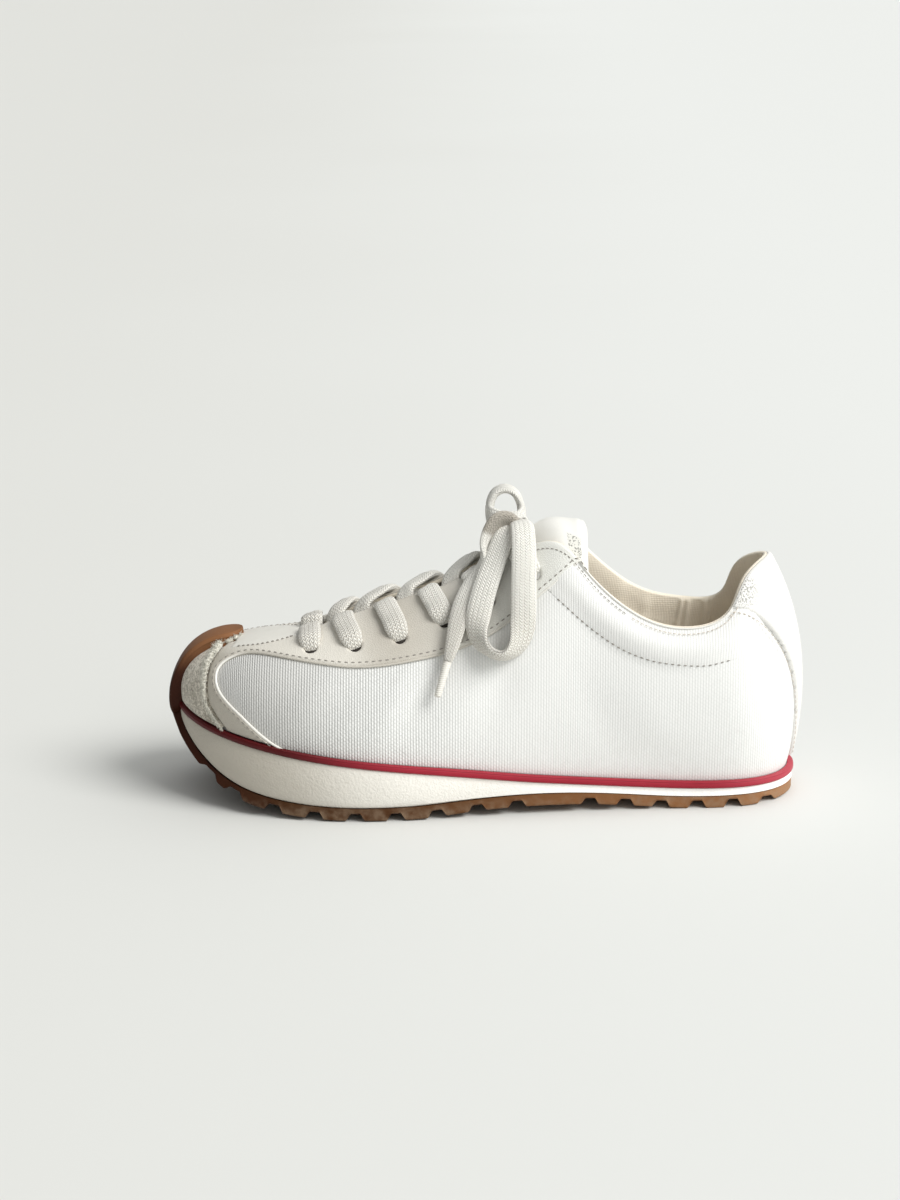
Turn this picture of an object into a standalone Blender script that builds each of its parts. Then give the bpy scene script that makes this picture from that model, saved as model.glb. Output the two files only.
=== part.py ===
"""Low laced sneaker with a canvas upper on a rubber and foam sole, left shoe.

The frame: +X towards the toe, +Y towards the outer (lateral) side of the shoe, +Z up, with the
origin on the floor under the middle of the shoe. All tables are in millimetres.
"""
import bpy
import bmesh
import numpy as np

# ---- Driving dimensions, in millimetres -----------------------------------------------------
SOLE_LENGTH = 263.0        # heel end to toe end of the sole, with the toe bumper
BALL_WIDTH = 91.5          # across the sole at the ball of the foot
INSTEP_HEIGHT = 110.0      # floor to the top of the lace facing
HEEL_HEIGHT = 101.0        # floor to the top of the heel tab

UPPER_WALL = 1.8           # canvas and its lining
COLLAR_WALL = 3.6          # the same with the collar's foam
GAP = 0.35                 # clearance between pieces that touch
FEATHER_INSET = 2.4        # from the sole's side in to the foot of the upper
FEATHER_TUCK = 0.5         # the foot of the upper stands this much behind the tape's top

TAPE_PROUD = 0.6           # the red tape stands out from the foam's side
TAPE_SEAT = 1.9            # depth of the rebate that the tape is glued into
MIDSOLE_BULGE = 0.9        # the foam's side is this much convex
LUG_DEPTH = 3.0            # of the tread's cross lugs
LUG_FLANK = 1.9            # run of a lug's sloping flank along the sole
VALLEY_ROOF = 3.8          # flat between two lugs
BUMPER_MIDDLE = -4.5       # middle of the strip that climbs the toe
BUMPER_HALF = 7.5          # half width of the strip that climbs the toe
BUMPER_CROWN = 0.008       # how fast that strip bends back from its middle, per millimetre

LEATHER = 1.2              # thickness of the guard and facing leather
SUEDE = 1.4                # thickness of the suede toe cap
COUNTER = 1.3              # thickness of the heel leather
SEAM_GAP = 0.25            # half the gap between the cap and the guard
SLIVER = 0.08              # shortest edge that a cut leaves
INSOLE_INSET = 5.6         # from the sole's side in to the insole

LACE_WIDTH = 7.4           # flat woven cotton lace
LACE_THICK = 1.7
LACE_LIFT = 3.2            # middle of the lace over the canvas that the facing covers
CROSSING_RISE = 1.9        # it rises this much more towards the throat
LACE_TUBE = 2.1            # radius of the plain tubes that stand for the free lace
LACE_COLOUR = (0.80, 0.77, 0.70)
EYELET_PITCH = 18.3        # along the shoe, six pairs
FIRST_EYELET = 70.2
THROAT_ARCH = 1.2          # the lace stands this much more over the middle of the throat
CROSSING_LEAD = 0.78       # a strap starts at the far edge this share of a pitch ahead of its eyelet
KNOT_SIZE = (7.6, 6.0, 4.6)    # half its length, width and height
AGLET_RADIUS = 1.7
AGLET_LENGTH = 15.0

MM = 0.001
BASE = {"length": 263.0, "ball": 91.5, "instep": 110.0, "heel": 101.0}
SHOE_MIDDLE = (-1.6, 0.6)  # the middle of the whole shoe, measured from the middle of the sole

# ---- The last, a row for each section, heel to toe on the outer side and back on the inner --
# x, y: side of the sole.  mid, band: height of the foam's side and of the tape's top.
# bed: top of the insole.  ex, ey, ez: edge of the opening, along collar and throat.
# out, up: belly handle from the foot of the wall.  over, drop: shoulder handle from the edge.
# puff: how far the padded collar swells out.
COLUMNS = ("x", "y", "mid", "band", "bed", "ex", "ey", "ez", "out", "up", "over", "drop", "puff")
SECTIONS = {
    "heel":            (-131.5, 0.0, 8.2, 11.8, 31.0, -118.4, 0.0, 101.0, 6.4, 24.0, 18.8, 32.0, 0.0),
    "heel_outer":      (-125.5, 17.6, 8.2, 11.8, 31.0, -108.4, 15.0, 95.4, 5.4, 24.0, 12.0, 31.0, 0.0),
    "tab_outer":       (-112.0, 27.6, 8.4, 12.0, 30.8, -101.2, 22.6, 83.0, 4.2, 24.0, 8.5, 25.0, 0.7),
    "collar_outer":    (-88.0, 31.2, 8.6, 12.2, 30.5, -84.0, 27.0, 76.4, 3.5, 24.0, 7.5, 24.0, 1.3),
    "rise_outer":      (-60.0, 33.0, 10.2, 13.8, 30.0, -61.0, 26.8, 83.2, 3.0, 24.0, 8.5, 26.0, 1.5),
    "quarter_outer":   (-38.0, 35.2, 12.0, 15.6, 29.5, -43.0, 22.4, 98.5, 3.0, 26.0, 11.5, 30.0, 1.2),
    "facing_outer":    (-18.0, 37.8, 14.0, 17.6, 29.0, -29.5, 16.0, 109.8, 3.0, 28.0, 17.0, 26.0, 0.3),
    "instep_outer":    (8.0, 41.6, 17.4, 21.0, 29.0, -3.0, 8.5, 98.0, 3.0, 28.0, 21.0, 20.0, 0.0),
    "ball_outer":      (42.0, 46.0, 21.8, 25.2, 29.6, 28.0, 6.8, 84.6, 2.8, 25.0, 22.0, 15.5, 0.0),
    "vamp_outer":      (75.0, 43.6, 26.0, 29.4, 33.4, 56.0, 6.5, 75.4, 2.4, 23.0, 24.0, 11.5, 0.0),
    "toe_outer":       (104.0, 31.5, 30.6, 34.0, 38.0, 67.0, 5.6, 70.4, 2.2, 21.0, 31.0, 7.4, 0.0),
    "tip_outer":       (121.3, 13.0, 34.0, 37.5, 41.5, 70.6, 3.3, 68.7, 4.0, 21.0, 34.0, 4.2, 0.0),
    "toe":             (126.8, -5.0, 35.8, 39.4, 43.4, 71.8, 0.0, 68.3, 4.4, 21.0, 35.0, 3.4, 0.0),
    "tip_inner":       (121.3, -22.5, 34.4, 38.0, 42.0, 70.6, -3.3, 68.7, 3.6, 21.0, 34.0, 5.2, 0.0),
    "toe_inner":       (106.0, -36.0, 31.2, 34.8, 38.8, 67.0, -5.6, 70.4, 2.0, 22.0, 31.0, 8.2, 0.0),
    "vamp_inner":      (80.0, -44.0, 26.8, 30.2, 34.2, 56.0, -6.5, 75.4, 2.4, 25.0, 26.0, 10.0, 0.0),
    "ball_inner":      (52.0, -44.8, 23.2, 26.6, 30.6, 28.0, -6.8, 84.6, 2.6, 28.0, 26.0, 13.5, 0.0),
    "instep_inner":    (14.0, -35.0, 18.2, 21.8, 29.6, -3.0, -8.5, 98.0, 3.0, 30.0, 20.0, 18.0, 0.0),
    "facing_inner":    (-18.0, -28.4, 14.0, 17.6, 29.6, -29.5, -16.0, 109.8, 4.0, 28.0, 15.0, 26.0, 0.3),
    "quarter_inner":   (-40.0, -27.2, 12.0, 15.6, 29.8, -43.5, -22.4, 99.0, 4.5, 26.0, 10.0, 30.0, 1.2),
    "rise_inner":      (-62.0, -28.2, 10.2, 13.8, 30.2, -63.0, -26.0, 82.0, 4.5, 24.0, 8.5, 26.0, 1.5),
    "collar_inner":    (-90.0, -29.8, 8.6, 12.2, 30.6, -87.0, -26.4, 75.0, 4.0, 24.0, 7.5, 24.0, 1.3),
    "tab_inner":       (-111.5, -26.6, 8.4, 12.0, 30.8, -102.6, -20.6, 79.5, 4.4, 24.0, 8.5, 25.0, 0.7),
    "heel_inner":      (-124.8, -17.2, 8.2, 11.8, 31.0, -108.0, -13.0, 94.0, 5.4, 24.0, 12.0, 31.0, 0.0),
}
ROUND = 72                 # stations around the shoe, half on each side
RISE = 9                   # stations up the wall
OVERLAY_FOOT = 0.022       # where overlays start above the tape, as a share of the wall's height
WALL_EASE = 0.86           # where the collar's foam starts, as a share of the wall's height

# ---- The gum sheet, a row for each station from heel to the tip of the toe bumper -----------
# x, z: its inner face.  thick: its thickness with the lugs.  lug: share of the full lug depth.
GUM = {
    "heel_end":   (-131.0, 4.8, 4.3, 0.2),
    "heel":       (-112.0, 5.0, 5.0, 1.0),
    "heel_fore":  (-82.0, 5.1, 5.1, 1.0),
    "waist_rear": (-56.0, 7.0, 5.0, 0.9),
    "waist":      (-26.0, 8.4, 5.2, 0.9),
    "waist_fore": (4.0, 7.3, 5.2, 0.9),
    "ball_rear":  (28.0, 5.7, 5.6, 1.0),
    "ball":       (46.0, 5.4, 5.4, 1.0),
    "ball_fore":  (66.0, 5.9, 5.5, 1.0),
    "tread_fore": (84.0, 7.6, 5.4, 1.0),
    "spring":     (99.0, 10.8, 5.0, 0.9),
    "toe_low":    (111.0, 16.4, 3.8, 0.7),
    "toe_mid":    (120.4, 24.2, 3.3, 0.4),
    "toe_high":   (126.6, 32.6, 3.0, 0.0),
    "toe_front":  (128.6, 40.5, 2.4, 0.0),
    "cap_front":  (127.2, 48.0, 2.2, 0.0),
    "cap_bend":   (123.0, 55.8, 2.3, 0.0),
    "cap_crest":  (116.6, 61.3, 2.6, 0.0),
    "cap_top":    (108.6, 65.0, 2.3, 0.0),
    "cap_end":    (99.5, 66.8, 1.7, 0.0),
}
FORE_VALLEY = -14.0        # first valley of the forefoot lugs, and their pitch
FORE_PITCH = 16.5
FORE_COUNT = 7
HEEL_VALLEY = -118.4       # the same for the heel
HEEL_PITCH = 14.8
HEEL_COUNT = 6
TOE_VALLEYS = (101.0, 111.5)


# ---- Curves and surfaces --------------------------------------------------------------------
def spline_slopes(knots, values, closed):
    """Slopes at the knots of the cubic spline with continuous curvature."""
    count = len(values)
    system = np.zeros((count, count))
    right = np.zeros_like(values)
    for i in range(count):
        before, after = i - 1, (i + 1) % count
        if not closed and i in (0, count - 1):
            near, far = (0, 1) if i == 0 else (count - 1, count - 2)
            system[i, near], system[i, far] = 2.0, 1.0
            step = abs(knots[far] - knots[near])
            rise = values[far] - values[near] if i == 0 else values[near] - values[far]
            right[i] = 3.0 * rise / step
            continue
        h0 = knots[i] - knots[i - 1] if i else knots[count] - knots[count - 1]
        h1 = knots[i + 1] - knots[i]
        system[i, before] += 1.0 / h0
        system[i, i] += 2.0 / h0 + 2.0 / h1
        system[i, after] += 1.0 / h1
        right[i] = 3.0 * (values[i] - values[before]) / h0 ** 2 + 3.0 * (values[after] - values[i]) / h1 ** 2
    return np.linalg.solve(system, right)


def spline_at(knots, values, where, closed=False):
    """Values of the spline through (knots, values) at the parameters in where."""
    slopes = spline_slopes(knots, values, closed)
    if closed:
        values, slopes = np.vstack([values, values[:1]]), np.vstack([slopes, slopes[:1]])
    i = np.clip(np.searchsorted(knots, where, side="right") - 1, 0, len(knots) - 2)
    h = (knots[i + 1] - knots[i])[:, None]
    t = ((where - knots[i]) / h[:, 0])[:, None]
    return ((1 + 2 * t) * (1 - t) ** 2 * values[i] + t * (1 - t) ** 2 * h * slopes[i]
            + t ** 2 * (3 - 2 * t) * values[i + 1] + t ** 2 * (t - 1) * h * slopes[i + 1])


def last_table():
    """The sections as an array, stretched from the base size to the driving dimensions."""
    rows = np.array(list(SECTIONS.values()))
    stretch = {"x": SOLE_LENGTH / BASE["length"], "ex": SOLE_LENGTH / BASE["length"],
               "y": BALL_WIDTH / BASE["ball"], "ey": BALL_WIDTH / BASE["ball"]}
    for name, factor in stretch.items():
        rows[:, COLUMNS.index(name)] *= factor
    height = np.where(rows[:, COLUMNS.index("ex")] > -80.0, INSTEP_HEIGHT / BASE["instep"],
                      HEEL_HEIGHT / BASE["heel"])
    rows[:, COLUMNS.index("ez")] *= height
    return rows


LAST = last_table()


def last_knots():
    """Parameters of the sections: 0 at the heel, 0.5 at the toe, 1 back at the heel."""
    outline = LAST[:, :2]
    steps = np.hypot(*(np.roll(outline, -1, axis=0) - outline).T)
    run = np.concatenate([[0.0], np.cumsum(steps)])
    toe = list(SECTIONS).index("toe")
    return np.where(run <= run[toe], 0.5 * run / run[toe],
                    0.5 + 0.5 * (run - run[toe]) / (run[-1] - run[toe]))


KNOTS = last_knots()


def last_at(u):
    """Every column of the last at the parameters u, and the sole's outward normal there."""
    u = np.mod(np.asarray(u, float), 1.0)
    values = spline_at(KNOTS, LAST, u, closed=True)
    step = 1e-4
    ahead = spline_at(KNOTS, LAST[:, :2], np.mod(u + step, 1.0), closed=True)
    behind = spline_at(KNOTS, LAST[:, :2], np.mod(u - step, 1.0), closed=True)
    along = ahead - behind
    along /= np.linalg.norm(along, axis=1)[:, None]
    column = {name: values[:, i] for i, name in enumerate(COLUMNS)}
    column["normal"] = np.stack([-along[:, 1], along[:, 0], np.zeros(len(u))], axis=1)
    return column


def wall_curve(u, v):
    """The outer face of the upper: a cubic from the sole (v = 0) to the opening (v = 1)."""
    at = last_at(u)
    normal, up = at["normal"], np.array([0.0, 0.0, 1.0])
    foot = np.stack([at["x"], at["y"], at["band"] - FEATHER_TUCK], axis=1) - FEATHER_INSET * normal
    edge = np.stack([at["ex"], at["ey"], at["ez"]], axis=1)
    belly = foot + at["out"][:, None] * normal + at["up"][:, None] * up
    shoulder = edge + at["over"][:, None] * normal - at["drop"][:, None] * up
    t = np.asarray(v, float)[None, :, None]
    curve = ((1 - t) ** 3 * foot[:, None] + 3 * t * (1 - t) ** 2 * belly[:, None]
             + 3 * t ** 2 * (1 - t) * shoulder[:, None] + t ** 3 * edge[:, None])
    swell = np.sin(np.pi * np.clip((t - 0.72) / 0.28, 0.0, 1.0)) ** 2
    return curve + swell * at["puff"][:, None, None] * normal[:, None]


def upper_face(u, v, lift=0.0):
    """The upper's outer face moved outwards by lift, a number or one for each station of v."""
    du, dv = 2e-4, 1e-3
    low, high = np.clip(v - dv, 0.0, 1.0), np.clip(v + dv, 0.0, 1.0)
    along = wall_curve(u + du, v) - wall_curve(u - du, v)
    rising = wall_curve(u, high) - wall_curve(u, low)
    normal = np.cross(rising, along)
    normal /= np.linalg.norm(normal, axis=2)[:, :, None]
    return wall_curve(u, v) + np.asarray(lift)[..., None] * normal


def stations():
    """Parameters around the shoe, the same count on each side."""
    return np.arange(ROUND) / ROUND


def sole_ring(height, inset):
    """A closed loop around the sole at a height and an inset from its side."""
    at = last_at(stations())
    ring = np.stack([at["x"], at["y"], height(at)], axis=1)
    away = np.broadcast_to(inset, len(ring))[:, None]
    return ring - away * at["normal"]


def gum_table():
    """Parameters along the gum sheet and its rows, as arrays."""
    rows = np.array(list(GUM.values()))
    rows[:, 0] *= SOLE_LENGTH / BASE["length"]
    run = np.concatenate([[0.0], np.cumsum(np.hypot(*np.diff(rows[:, :2], axis=0).T))])
    return run, rows


def gum_height(x):
    """Height of the gum's inner face over a place along the sole, up to the toe."""
    run, rows = gum_table()
    path = spline_at(run, rows[:, :2], np.linspace(0.0, run[-1], 800))
    rising = path[:np.argmax(path[:, 0])]
    return np.interp(x, rising[:, 0], rising[:, 1])


# ---- Making solids --------------------------------------------------------------------------
def add_solid(name, points, faces, colour, roughness, sharp=35.0):
    """An object from points in millimetres, with its own material and smooth shading."""
    places = np.asarray(points, float) - (*SHOE_MIDDLE, 0.0)
    mesh = bpy.data.meshes.new(name)
    mesh.from_pydata([tuple(p) for p in places * MM], [], [tuple(f) for f in faces])
    body = bmesh.new()
    body.from_mesh(mesh)
    bmesh.ops.recalc_face_normals(body, faces=body.faces)
    if body.calc_volume(signed=True) < 0.0:
        bmesh.ops.reverse_faces(body, faces=body.faces)
    body.to_mesh(mesh)
    body.free()
    mesh.shade_smooth()
    mesh.set_sharp_from_angle(angle=np.radians(sharp))
    solid = bpy.data.objects.new(name, mesh)
    bpy.context.scene.collection.objects.link(solid)
    mesh.materials.append(finish(name, colour, roughness))
    return solid


def finish(name, colour, roughness):
    """A plain finish of one colour."""
    material = bpy.data.materials.new(name)
    material.use_nodes = True
    shader = material.node_tree.nodes["Principled BSDF"]
    shader.inputs["Base Color"].default_value = (*colour, 1.0)
    shader.inputs["Roughness"].default_value = roughness
    shader.inputs["Metallic"].default_value = 0.0
    return material


def ring_faces(count, size, closed=True):
    """Quads between count rings of size points each, numbered ring by ring."""
    faces = []
    for i in range(count - 1):
        for j in range(size if closed else size - 1):
            k = (j + 1) % size
            faces.append((i * size + j, i * size + k, (i + 1) * size + k, (i + 1) * size + j))
    return faces


def wall_solid(name, outer, inner, colour, roughness):
    """A wall between two grids that run around the shoe, open above and below."""
    size, rise = outer.shape[:2]
    loops = [outer[:, j] for j in range(rise)] + [inner[:, j] for j in reversed(range(rise))]
    faces = ring_faces(len(loops) + 1, size)
    total = size * len(loops)
    faces = [tuple(i % total for i in face) for face in faces]
    return add_solid(name, np.concatenate(loops), faces, colour, roughness)


def cap_faces(first, size):
    """Faces that close a loop which starts at index first, from side to side."""
    half = size // 2
    faces = [(first, first + 1, first + size - 1)]
    for k in range(1, half - 1):
        faces.append((first + k, first + k + 1, first + size - k - 1, first + size - k))
    faces.append((first + half - 1, first + half, first + half + 1))
    return faces


def slab_solid(name, rings, colour, roughness):
    """A layer of the sole from closed loops, bottom to top, closed across at both ends."""
    size = len(rings[0])
    faces = ring_faces(len(rings), size)
    faces += cap_faces(0, size)
    faces += cap_faces((len(rings) - 1) * size, size)
    return add_solid(name, np.concatenate(rings), faces, colour, roughness)


def ribbon_solid(name, sections, colour, roughness):
    """A bar from closed sections along its length, with flat ends."""
    count, size = sections.shape[:2]
    faces = ring_faces(count, size)
    faces.append(tuple(range(size)))
    faces.append(tuple((count - 1) * size + k for k in range(size)))
    return add_solid(name, sections.reshape(-1, 3), faces, colour, roughness)


def triangulated(solid):
    """Planar triangles in place of the solid's warped quads, so that it is cut cleanly."""
    split = solid.modifiers.new("triangles", "TRIANGULATE")
    split.quad_method = "SHORTEST_DIAGONAL"
    return solid


# ---- The sole -------------------------------------------------------------------------------
def make_midsole():
    """White foam, thick under the ball and thin under the heel, rebated for the tape."""
    low = lambda at: gum_height(at["x"]) + GAP
    here = last_at(stations())
    bulge = MIDSOLE_BULGE * np.clip((here["mid"] - low(here) - 3.0) / 12.0, 0.0, 1.0)
    rings = [
        sole_ring(low, 0.9),
        sole_ring(lambda at: 0.9 * low(at) + 0.1 * at["mid"], 0.2),
        sole_ring(lambda at: 0.5 * low(at) + 0.5 * at["mid"], -bulge),
        sole_ring(lambda at: 0.1 * low(at) + 0.9 * at["mid"], 0.0),
        sole_ring(lambda at: at["mid"], 0.5),
        sole_ring(lambda at: at["mid"], TAPE_SEAT + GAP),
        sole_ring(lambda at: at["band"] - FEATHER_TUCK - GAP, TAPE_SEAT + GAP),
    ]
    return slab_solid("midsole", rings, (0.86, 0.85, 0.80), 0.75)


def make_tape():
    """The red rubber tape in the foam's rebate, all around."""
    foot = lambda at: at["mid"] + GAP
    rings = [
        sole_ring(foot, TAPE_SEAT),
        sole_ring(foot, 0.3 - TAPE_PROUD),
        sole_ring(lambda at: foot(at) + 0.5, -TAPE_PROUD),
        sole_ring(lambda at: at["band"] - 0.5, -TAPE_PROUD),
        sole_ring(lambda at: at["band"], 0.4 - TAPE_PROUD),
        sole_ring(lambda at: at["band"], TAPE_SEAT),
    ]
    size = len(rings[0])
    faces = ring_faces(len(rings) + 1, size)
    total = size * len(rings)
    faces = [tuple(i % total for i in face) for face in faces]
    return add_solid("sole_tape", np.concatenate(rings), faces, (0.34, 0.02, 0.035), 0.5)


def valley_places():
    """Middles of the valleys between lugs, along the sole."""
    heel = [HEEL_VALLEY + i * HEEL_PITCH for i in range(HEEL_COUNT)]
    fore = [FORE_VALLEY + i * FORE_PITCH for i in range(FORE_COUNT)]
    return heel + fore + list(TOE_VALLEYS)


def lug_share(x):
    """1 on a lug, 0 in the roof of a valley and a straight flank between them."""
    away = np.min([abs(x - place) for place in valley_places()], axis=0)
    return np.clip((away - VALLEY_ROOF / 2) / LUG_FLANK, 0.0, 1.0)


def tread_stations(path, run):
    """Parameters along the gum sheet: each corner of each lug, and steps elsewhere."""
    toe = path[:np.argmax(path[:, 0]) + 1]
    corners = [place + side * reach for place in valley_places()
               for side in (-1, 1) for reach in (VALLEY_ROOF / 2, VALLEY_ROOF / 2 + LUG_FLANK)]
    at_corners = np.interp(corners, toe[:, 0], run[:len(toe)])
    ends = [0.0, 1.6, 4.0, 8.0]
    last_valley = at_corners.max()
    climb = np.linspace(last_valley + 3.0, run[-1] - 9.0, 13)
    tip = run[-1] - np.array([7.0, 4.6, 2.6, 1.0, 0.0])
    flat = np.interp([-30.0, 94.0], toe[:, 0], run[:len(toe)])
    return np.unique(np.concatenate([ends, at_corners, climb, tip, flat]))


def side_reach(x):
    """Outer and inner side of the sole at places along it."""
    outline = last_at(np.linspace(0.0, 1.0, 1201))
    half = 601
    outer = np.interp(x, outline["x"][:half], outline["y"][:half])
    inner = np.interp(-x, -outline["x"][half - 1:], outline["y"][half - 1:])
    return outer, inner


def make_outsole():
    """Gum rubber sheet with cross lugs, which climbs the toe as a narrow bumper."""
    run, rows = gum_table()
    fine = np.linspace(0.0, run[-1], 1600)
    path = spline_at(run, rows, fine)
    where = tread_stations(path, fine)
    at = spline_at(run, rows, where)
    ahead = spline_at(run, rows[:, :2], np.minimum(where + 0.3, run[-1]))
    behind = spline_at(run, rows[:, :2], np.maximum(where - 0.3, 0.0))
    along = ahead - behind
    along /= np.linalg.norm(along, axis=1)[:, None]
    outward = np.stack([along[:, 1], -along[:, 0]], axis=1)

    front = path[:, 0].argmax()
    climbing = where > fine[front] - 14.0
    outer, inner = side_reach(np.minimum(at[:, 0], 127.0))
    middle = BUMPER_MIDDLE
    to_tip = np.clip((run[-1] - where) / 9.0, 0.0, 1.0)
    strip = BUMPER_HALF * np.sqrt(np.clip(1.0 - (1.0 - to_tip) ** 2, 0.04, 1.0))
    blend = np.clip((where - (fine[front] - 14.0)) / 9.0, 0.0, 1.0)
    outer = np.where(climbing, outer * (1 - blend) + (middle + strip) * blend, outer)
    inner = np.where(climbing, inner * (1 - blend) + (middle - strip) * blend, inner)
    crown = BUMPER_CROWN * np.clip((where - (fine[front] - 11.0)) / 11.0, 0.0, 1.0)

    thick = at[:, 2] - (1.0 - lug_share(at[:, 0])) * LUG_DEPTH * at[:, 3] * (where < fine[front])
    shares = (0.0, 0.12, 0.5, 0.88, 1.0)
    sections = []
    for i in range(len(where)):
        ring = []
        for depth, order in ((0.0, shares), (1.0, shares[::-1])):
            for share in order:
                y = outer[i] + (inner[i] - outer[i]) * share
                edge = share in (0.0, 1.0)
                back = crown[i] * (y - middle) ** 2
                reach = depth * thick[i] * (0.72 if edge and climbing[i] else 1.0) - back
                if edge:
                    y += (0.5 - share) * 1.2 * depth
                x, z = at[i, :2] + reach * outward[i]
                ring.append((x, y, 0.0 if z < 0.3 else z))
        sections.append(ring)
    return ribbon_solid("outsole", np.array(sections), (0.30, 0.135, 0.065), 0.55)


# ---- The upper ------------------------------------------------------------------------------
def wall_steps():
    """Stations up the wall, closer at its foot and edge."""
    t = np.linspace(0.0, 1.0, RISE)
    return t + 0.06 * np.sin(2 * np.pi * t)


def make_upper():
    """Canvas upper with its lining: one wall, thicker along the padded collar."""
    u, v = stations(), wall_steps()
    padded = last_at(u)["puff"][:, None] / 1.5
    foam = np.clip((v - WALL_EASE) / (1.0 - WALL_EASE), 0.0, 1.0)[None, :]
    depth = UPPER_WALL + (COLLAR_WALL - UPPER_WALL) * np.clip(padded * foam * 1.6, 0.0, 1.0)
    wall = wall_solid("upper", upper_face(u, v), upper_face(u, v, -depth), (0.80, 0.80, 0.77), 0.9)
    return triangulated(wall)


def make_insole():
    """Cushioned footbed with its heel wedge, in the upper on top of the foam."""
    low = lambda at: at["band"] - FEATHER_TUCK
    rings = [
        sole_ring(low, INSOLE_INSET),
        sole_ring(lambda at: at["bed"] - 1.2, INSOLE_INSET),
        sole_ring(lambda at: at["bed"] - 0.4, INSOLE_INSET + 0.6),
        sole_ring(lambda at: at["bed"], INSOLE_INSET + 2.4),
    ]
    return slab_solid("insole", rings, (0.62, 0.52, 0.42), 0.9)


# ---- Overlays -------------------------------------------------------------------------------
# Seams in side view, as places along the shoe and heights; each is a smooth curve.
FACING_SEAM = ((-47.0, 109.5), (-37.5, 101.4), (-21.0, 87.4), (-1.5, 72.6), (24.0, 64.3), (54.0, 60.8),
               (86.0, 63.0), (104.0, 59.9), (109.6, 52.4), (103.2, 44.7), (89.5, 34.0), (66.0, 14.0))
CAP_SEAM = ((100.0, 26.0), (108.0, 35.5), (112.6, 41.6), (115.8, 48.6), (114.9, 56.0), (109.6, 60.8),
            (105.8, 63.4), (104.6, 68.0), (104.5, 80.0))
COUNTER_SEAM = ((-98.0, 83.4), (-104.5, 82.6), (-112.0, 78.6), (-120.7, 69.0), (-126.6, 57.4),
                (-129.8, 44.3), (-130.6, 28.0), (-129.0, 6.0))


def seam_curve(points, steps):
    """A smooth curve through the points of a seam."""
    points = np.array(points, float)
    run = np.concatenate([[0.0], np.cumsum(np.hypot(*np.diff(points, axis=0).T))])
    return spline_at(run, points, np.linspace(0.0, run[-1], steps))


def moved_aside(curve, distance):
    """A curve in side view moved to its left by a distance."""
    along = np.gradient(curve, axis=0)
    along /= np.linalg.norm(along, axis=1)[:, None]
    return curve + distance * np.stack([-along[:, 1], along[:, 0]], axis=1)


def overlay_shell(name, thickness, colour, roughness):
    """The larger form of an overlay: the upper's own face, lifted and thickened."""
    u, v = stations(), np.maximum(wall_steps(), OVERLAY_FOOT)
    outer, inner = upper_face(u, v, GAP + thickness), upper_face(u, v, GAP)
    return triangulated(wall_solid(name, outer, inner, colour, roughness))


def side_cutter(name, outline):
    """A wide bar across the shoe whose section is an outline in side view."""
    half = 70.0
    sections = np.array([[(x, y, z) for x, z in outline] for y in (-half, half)])
    return ribbon_solid(name, sections, (0.5, 0.5, 0.5), 0.5)


def combine(solid, other, operation):
    """Cut or join two solids, and weld the slivers where their edges nearly meet."""
    other.hide_render = True
    other.display_type = "WIRE"
    cut = solid.modifiers.new("combine", "BOOLEAN")
    cut.operation = operation
    cut.solver = "EXACT"
    cut.object = other
    weld = solid.modifiers.new("slivers", "WELD")
    weld.merge_threshold = SLIVER * MM


def make_facing():
    """Smooth leather: the toe guard, the vamp's tongue-shaped top and both lace facings."""
    shell = overlay_shell("facing_guard", LEATHER, (0.70, 0.68, 0.63), 0.5)
    rear = seam_curve(FACING_SEAM, 46)
    front = moved_aside(seam_curve(CAP_SEAM, 26), SEAM_GAP)
    outline = [*rear, *front, (96.0, 135.0), (-62.0, 135.0)]
    combine(shell, side_cutter("facing_cutter", outline), "INTERSECT")


def make_toe_cap():
    """Suede toe cap with a raw edge, in front of the guard."""
    shell = overlay_shell("toe_cap", SUEDE, (0.62, 0.60, 0.56), 0.95)
    rear = moved_aside(seam_curve(CAP_SEAM, 26), -SEAM_GAP)
    combine(shell, side_cutter("toe_cap_cutter", [*rear, (150.0, 80.0), (150.0, 20.0)]), "INTERSECT")


def make_counter():
    """Leather heel counter that runs up into the heel tab."""
    shell = overlay_shell("heel_counter", COUNTER, (0.80, 0.78, 0.74), 0.5)
    front = seam_curve(COUNTER_SEAM, 26)
    outline = [*front, (-150.0, 6.0), (-150.0, 130.0), (-92.0, 130.0)]
    combine(shell, side_cutter("counter_cutter", outline), "INTERSECT")


# ---- Tongue ---------------------------------------------------------------------------------
# A row for each section, from the padded top edge to the front end under the vamp.
# at: parameter of the facing beside it.  x, top: middle of its face.  side: how far down the wall
# its side reaches, as a share of the wall's height.  pad: its thickness.
TONGUE_ROWS = (
    (0.195, -39.0, 117.2, 0.92, 5.6), (0.202, -33.5, 118.4, 0.89, 6.0), (0.213, -27.5, 116.8, 0.86, 5.6),
    (0.225, -22.0, 112.0, 0.83, 5.0), (0.238, -16.0, 105.4, 0.80, 4.2), (0.253, -8.5, 100.0, 0.77, 3.4),
    (0.283, 10.0, 91.0, 0.75, 3.2), (0.321, 30.0, 83.2, 0.75, 3.2), (0.358, 50.0, 76.7, 0.75, 3.2),
    (0.386, 60.0, 72.1, 0.77, 3.0), (0.425, 68.0, 67.4, 0.80, 2.6), (0.455, 73.5, 64.6, 0.84, 2.0),
)


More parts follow.
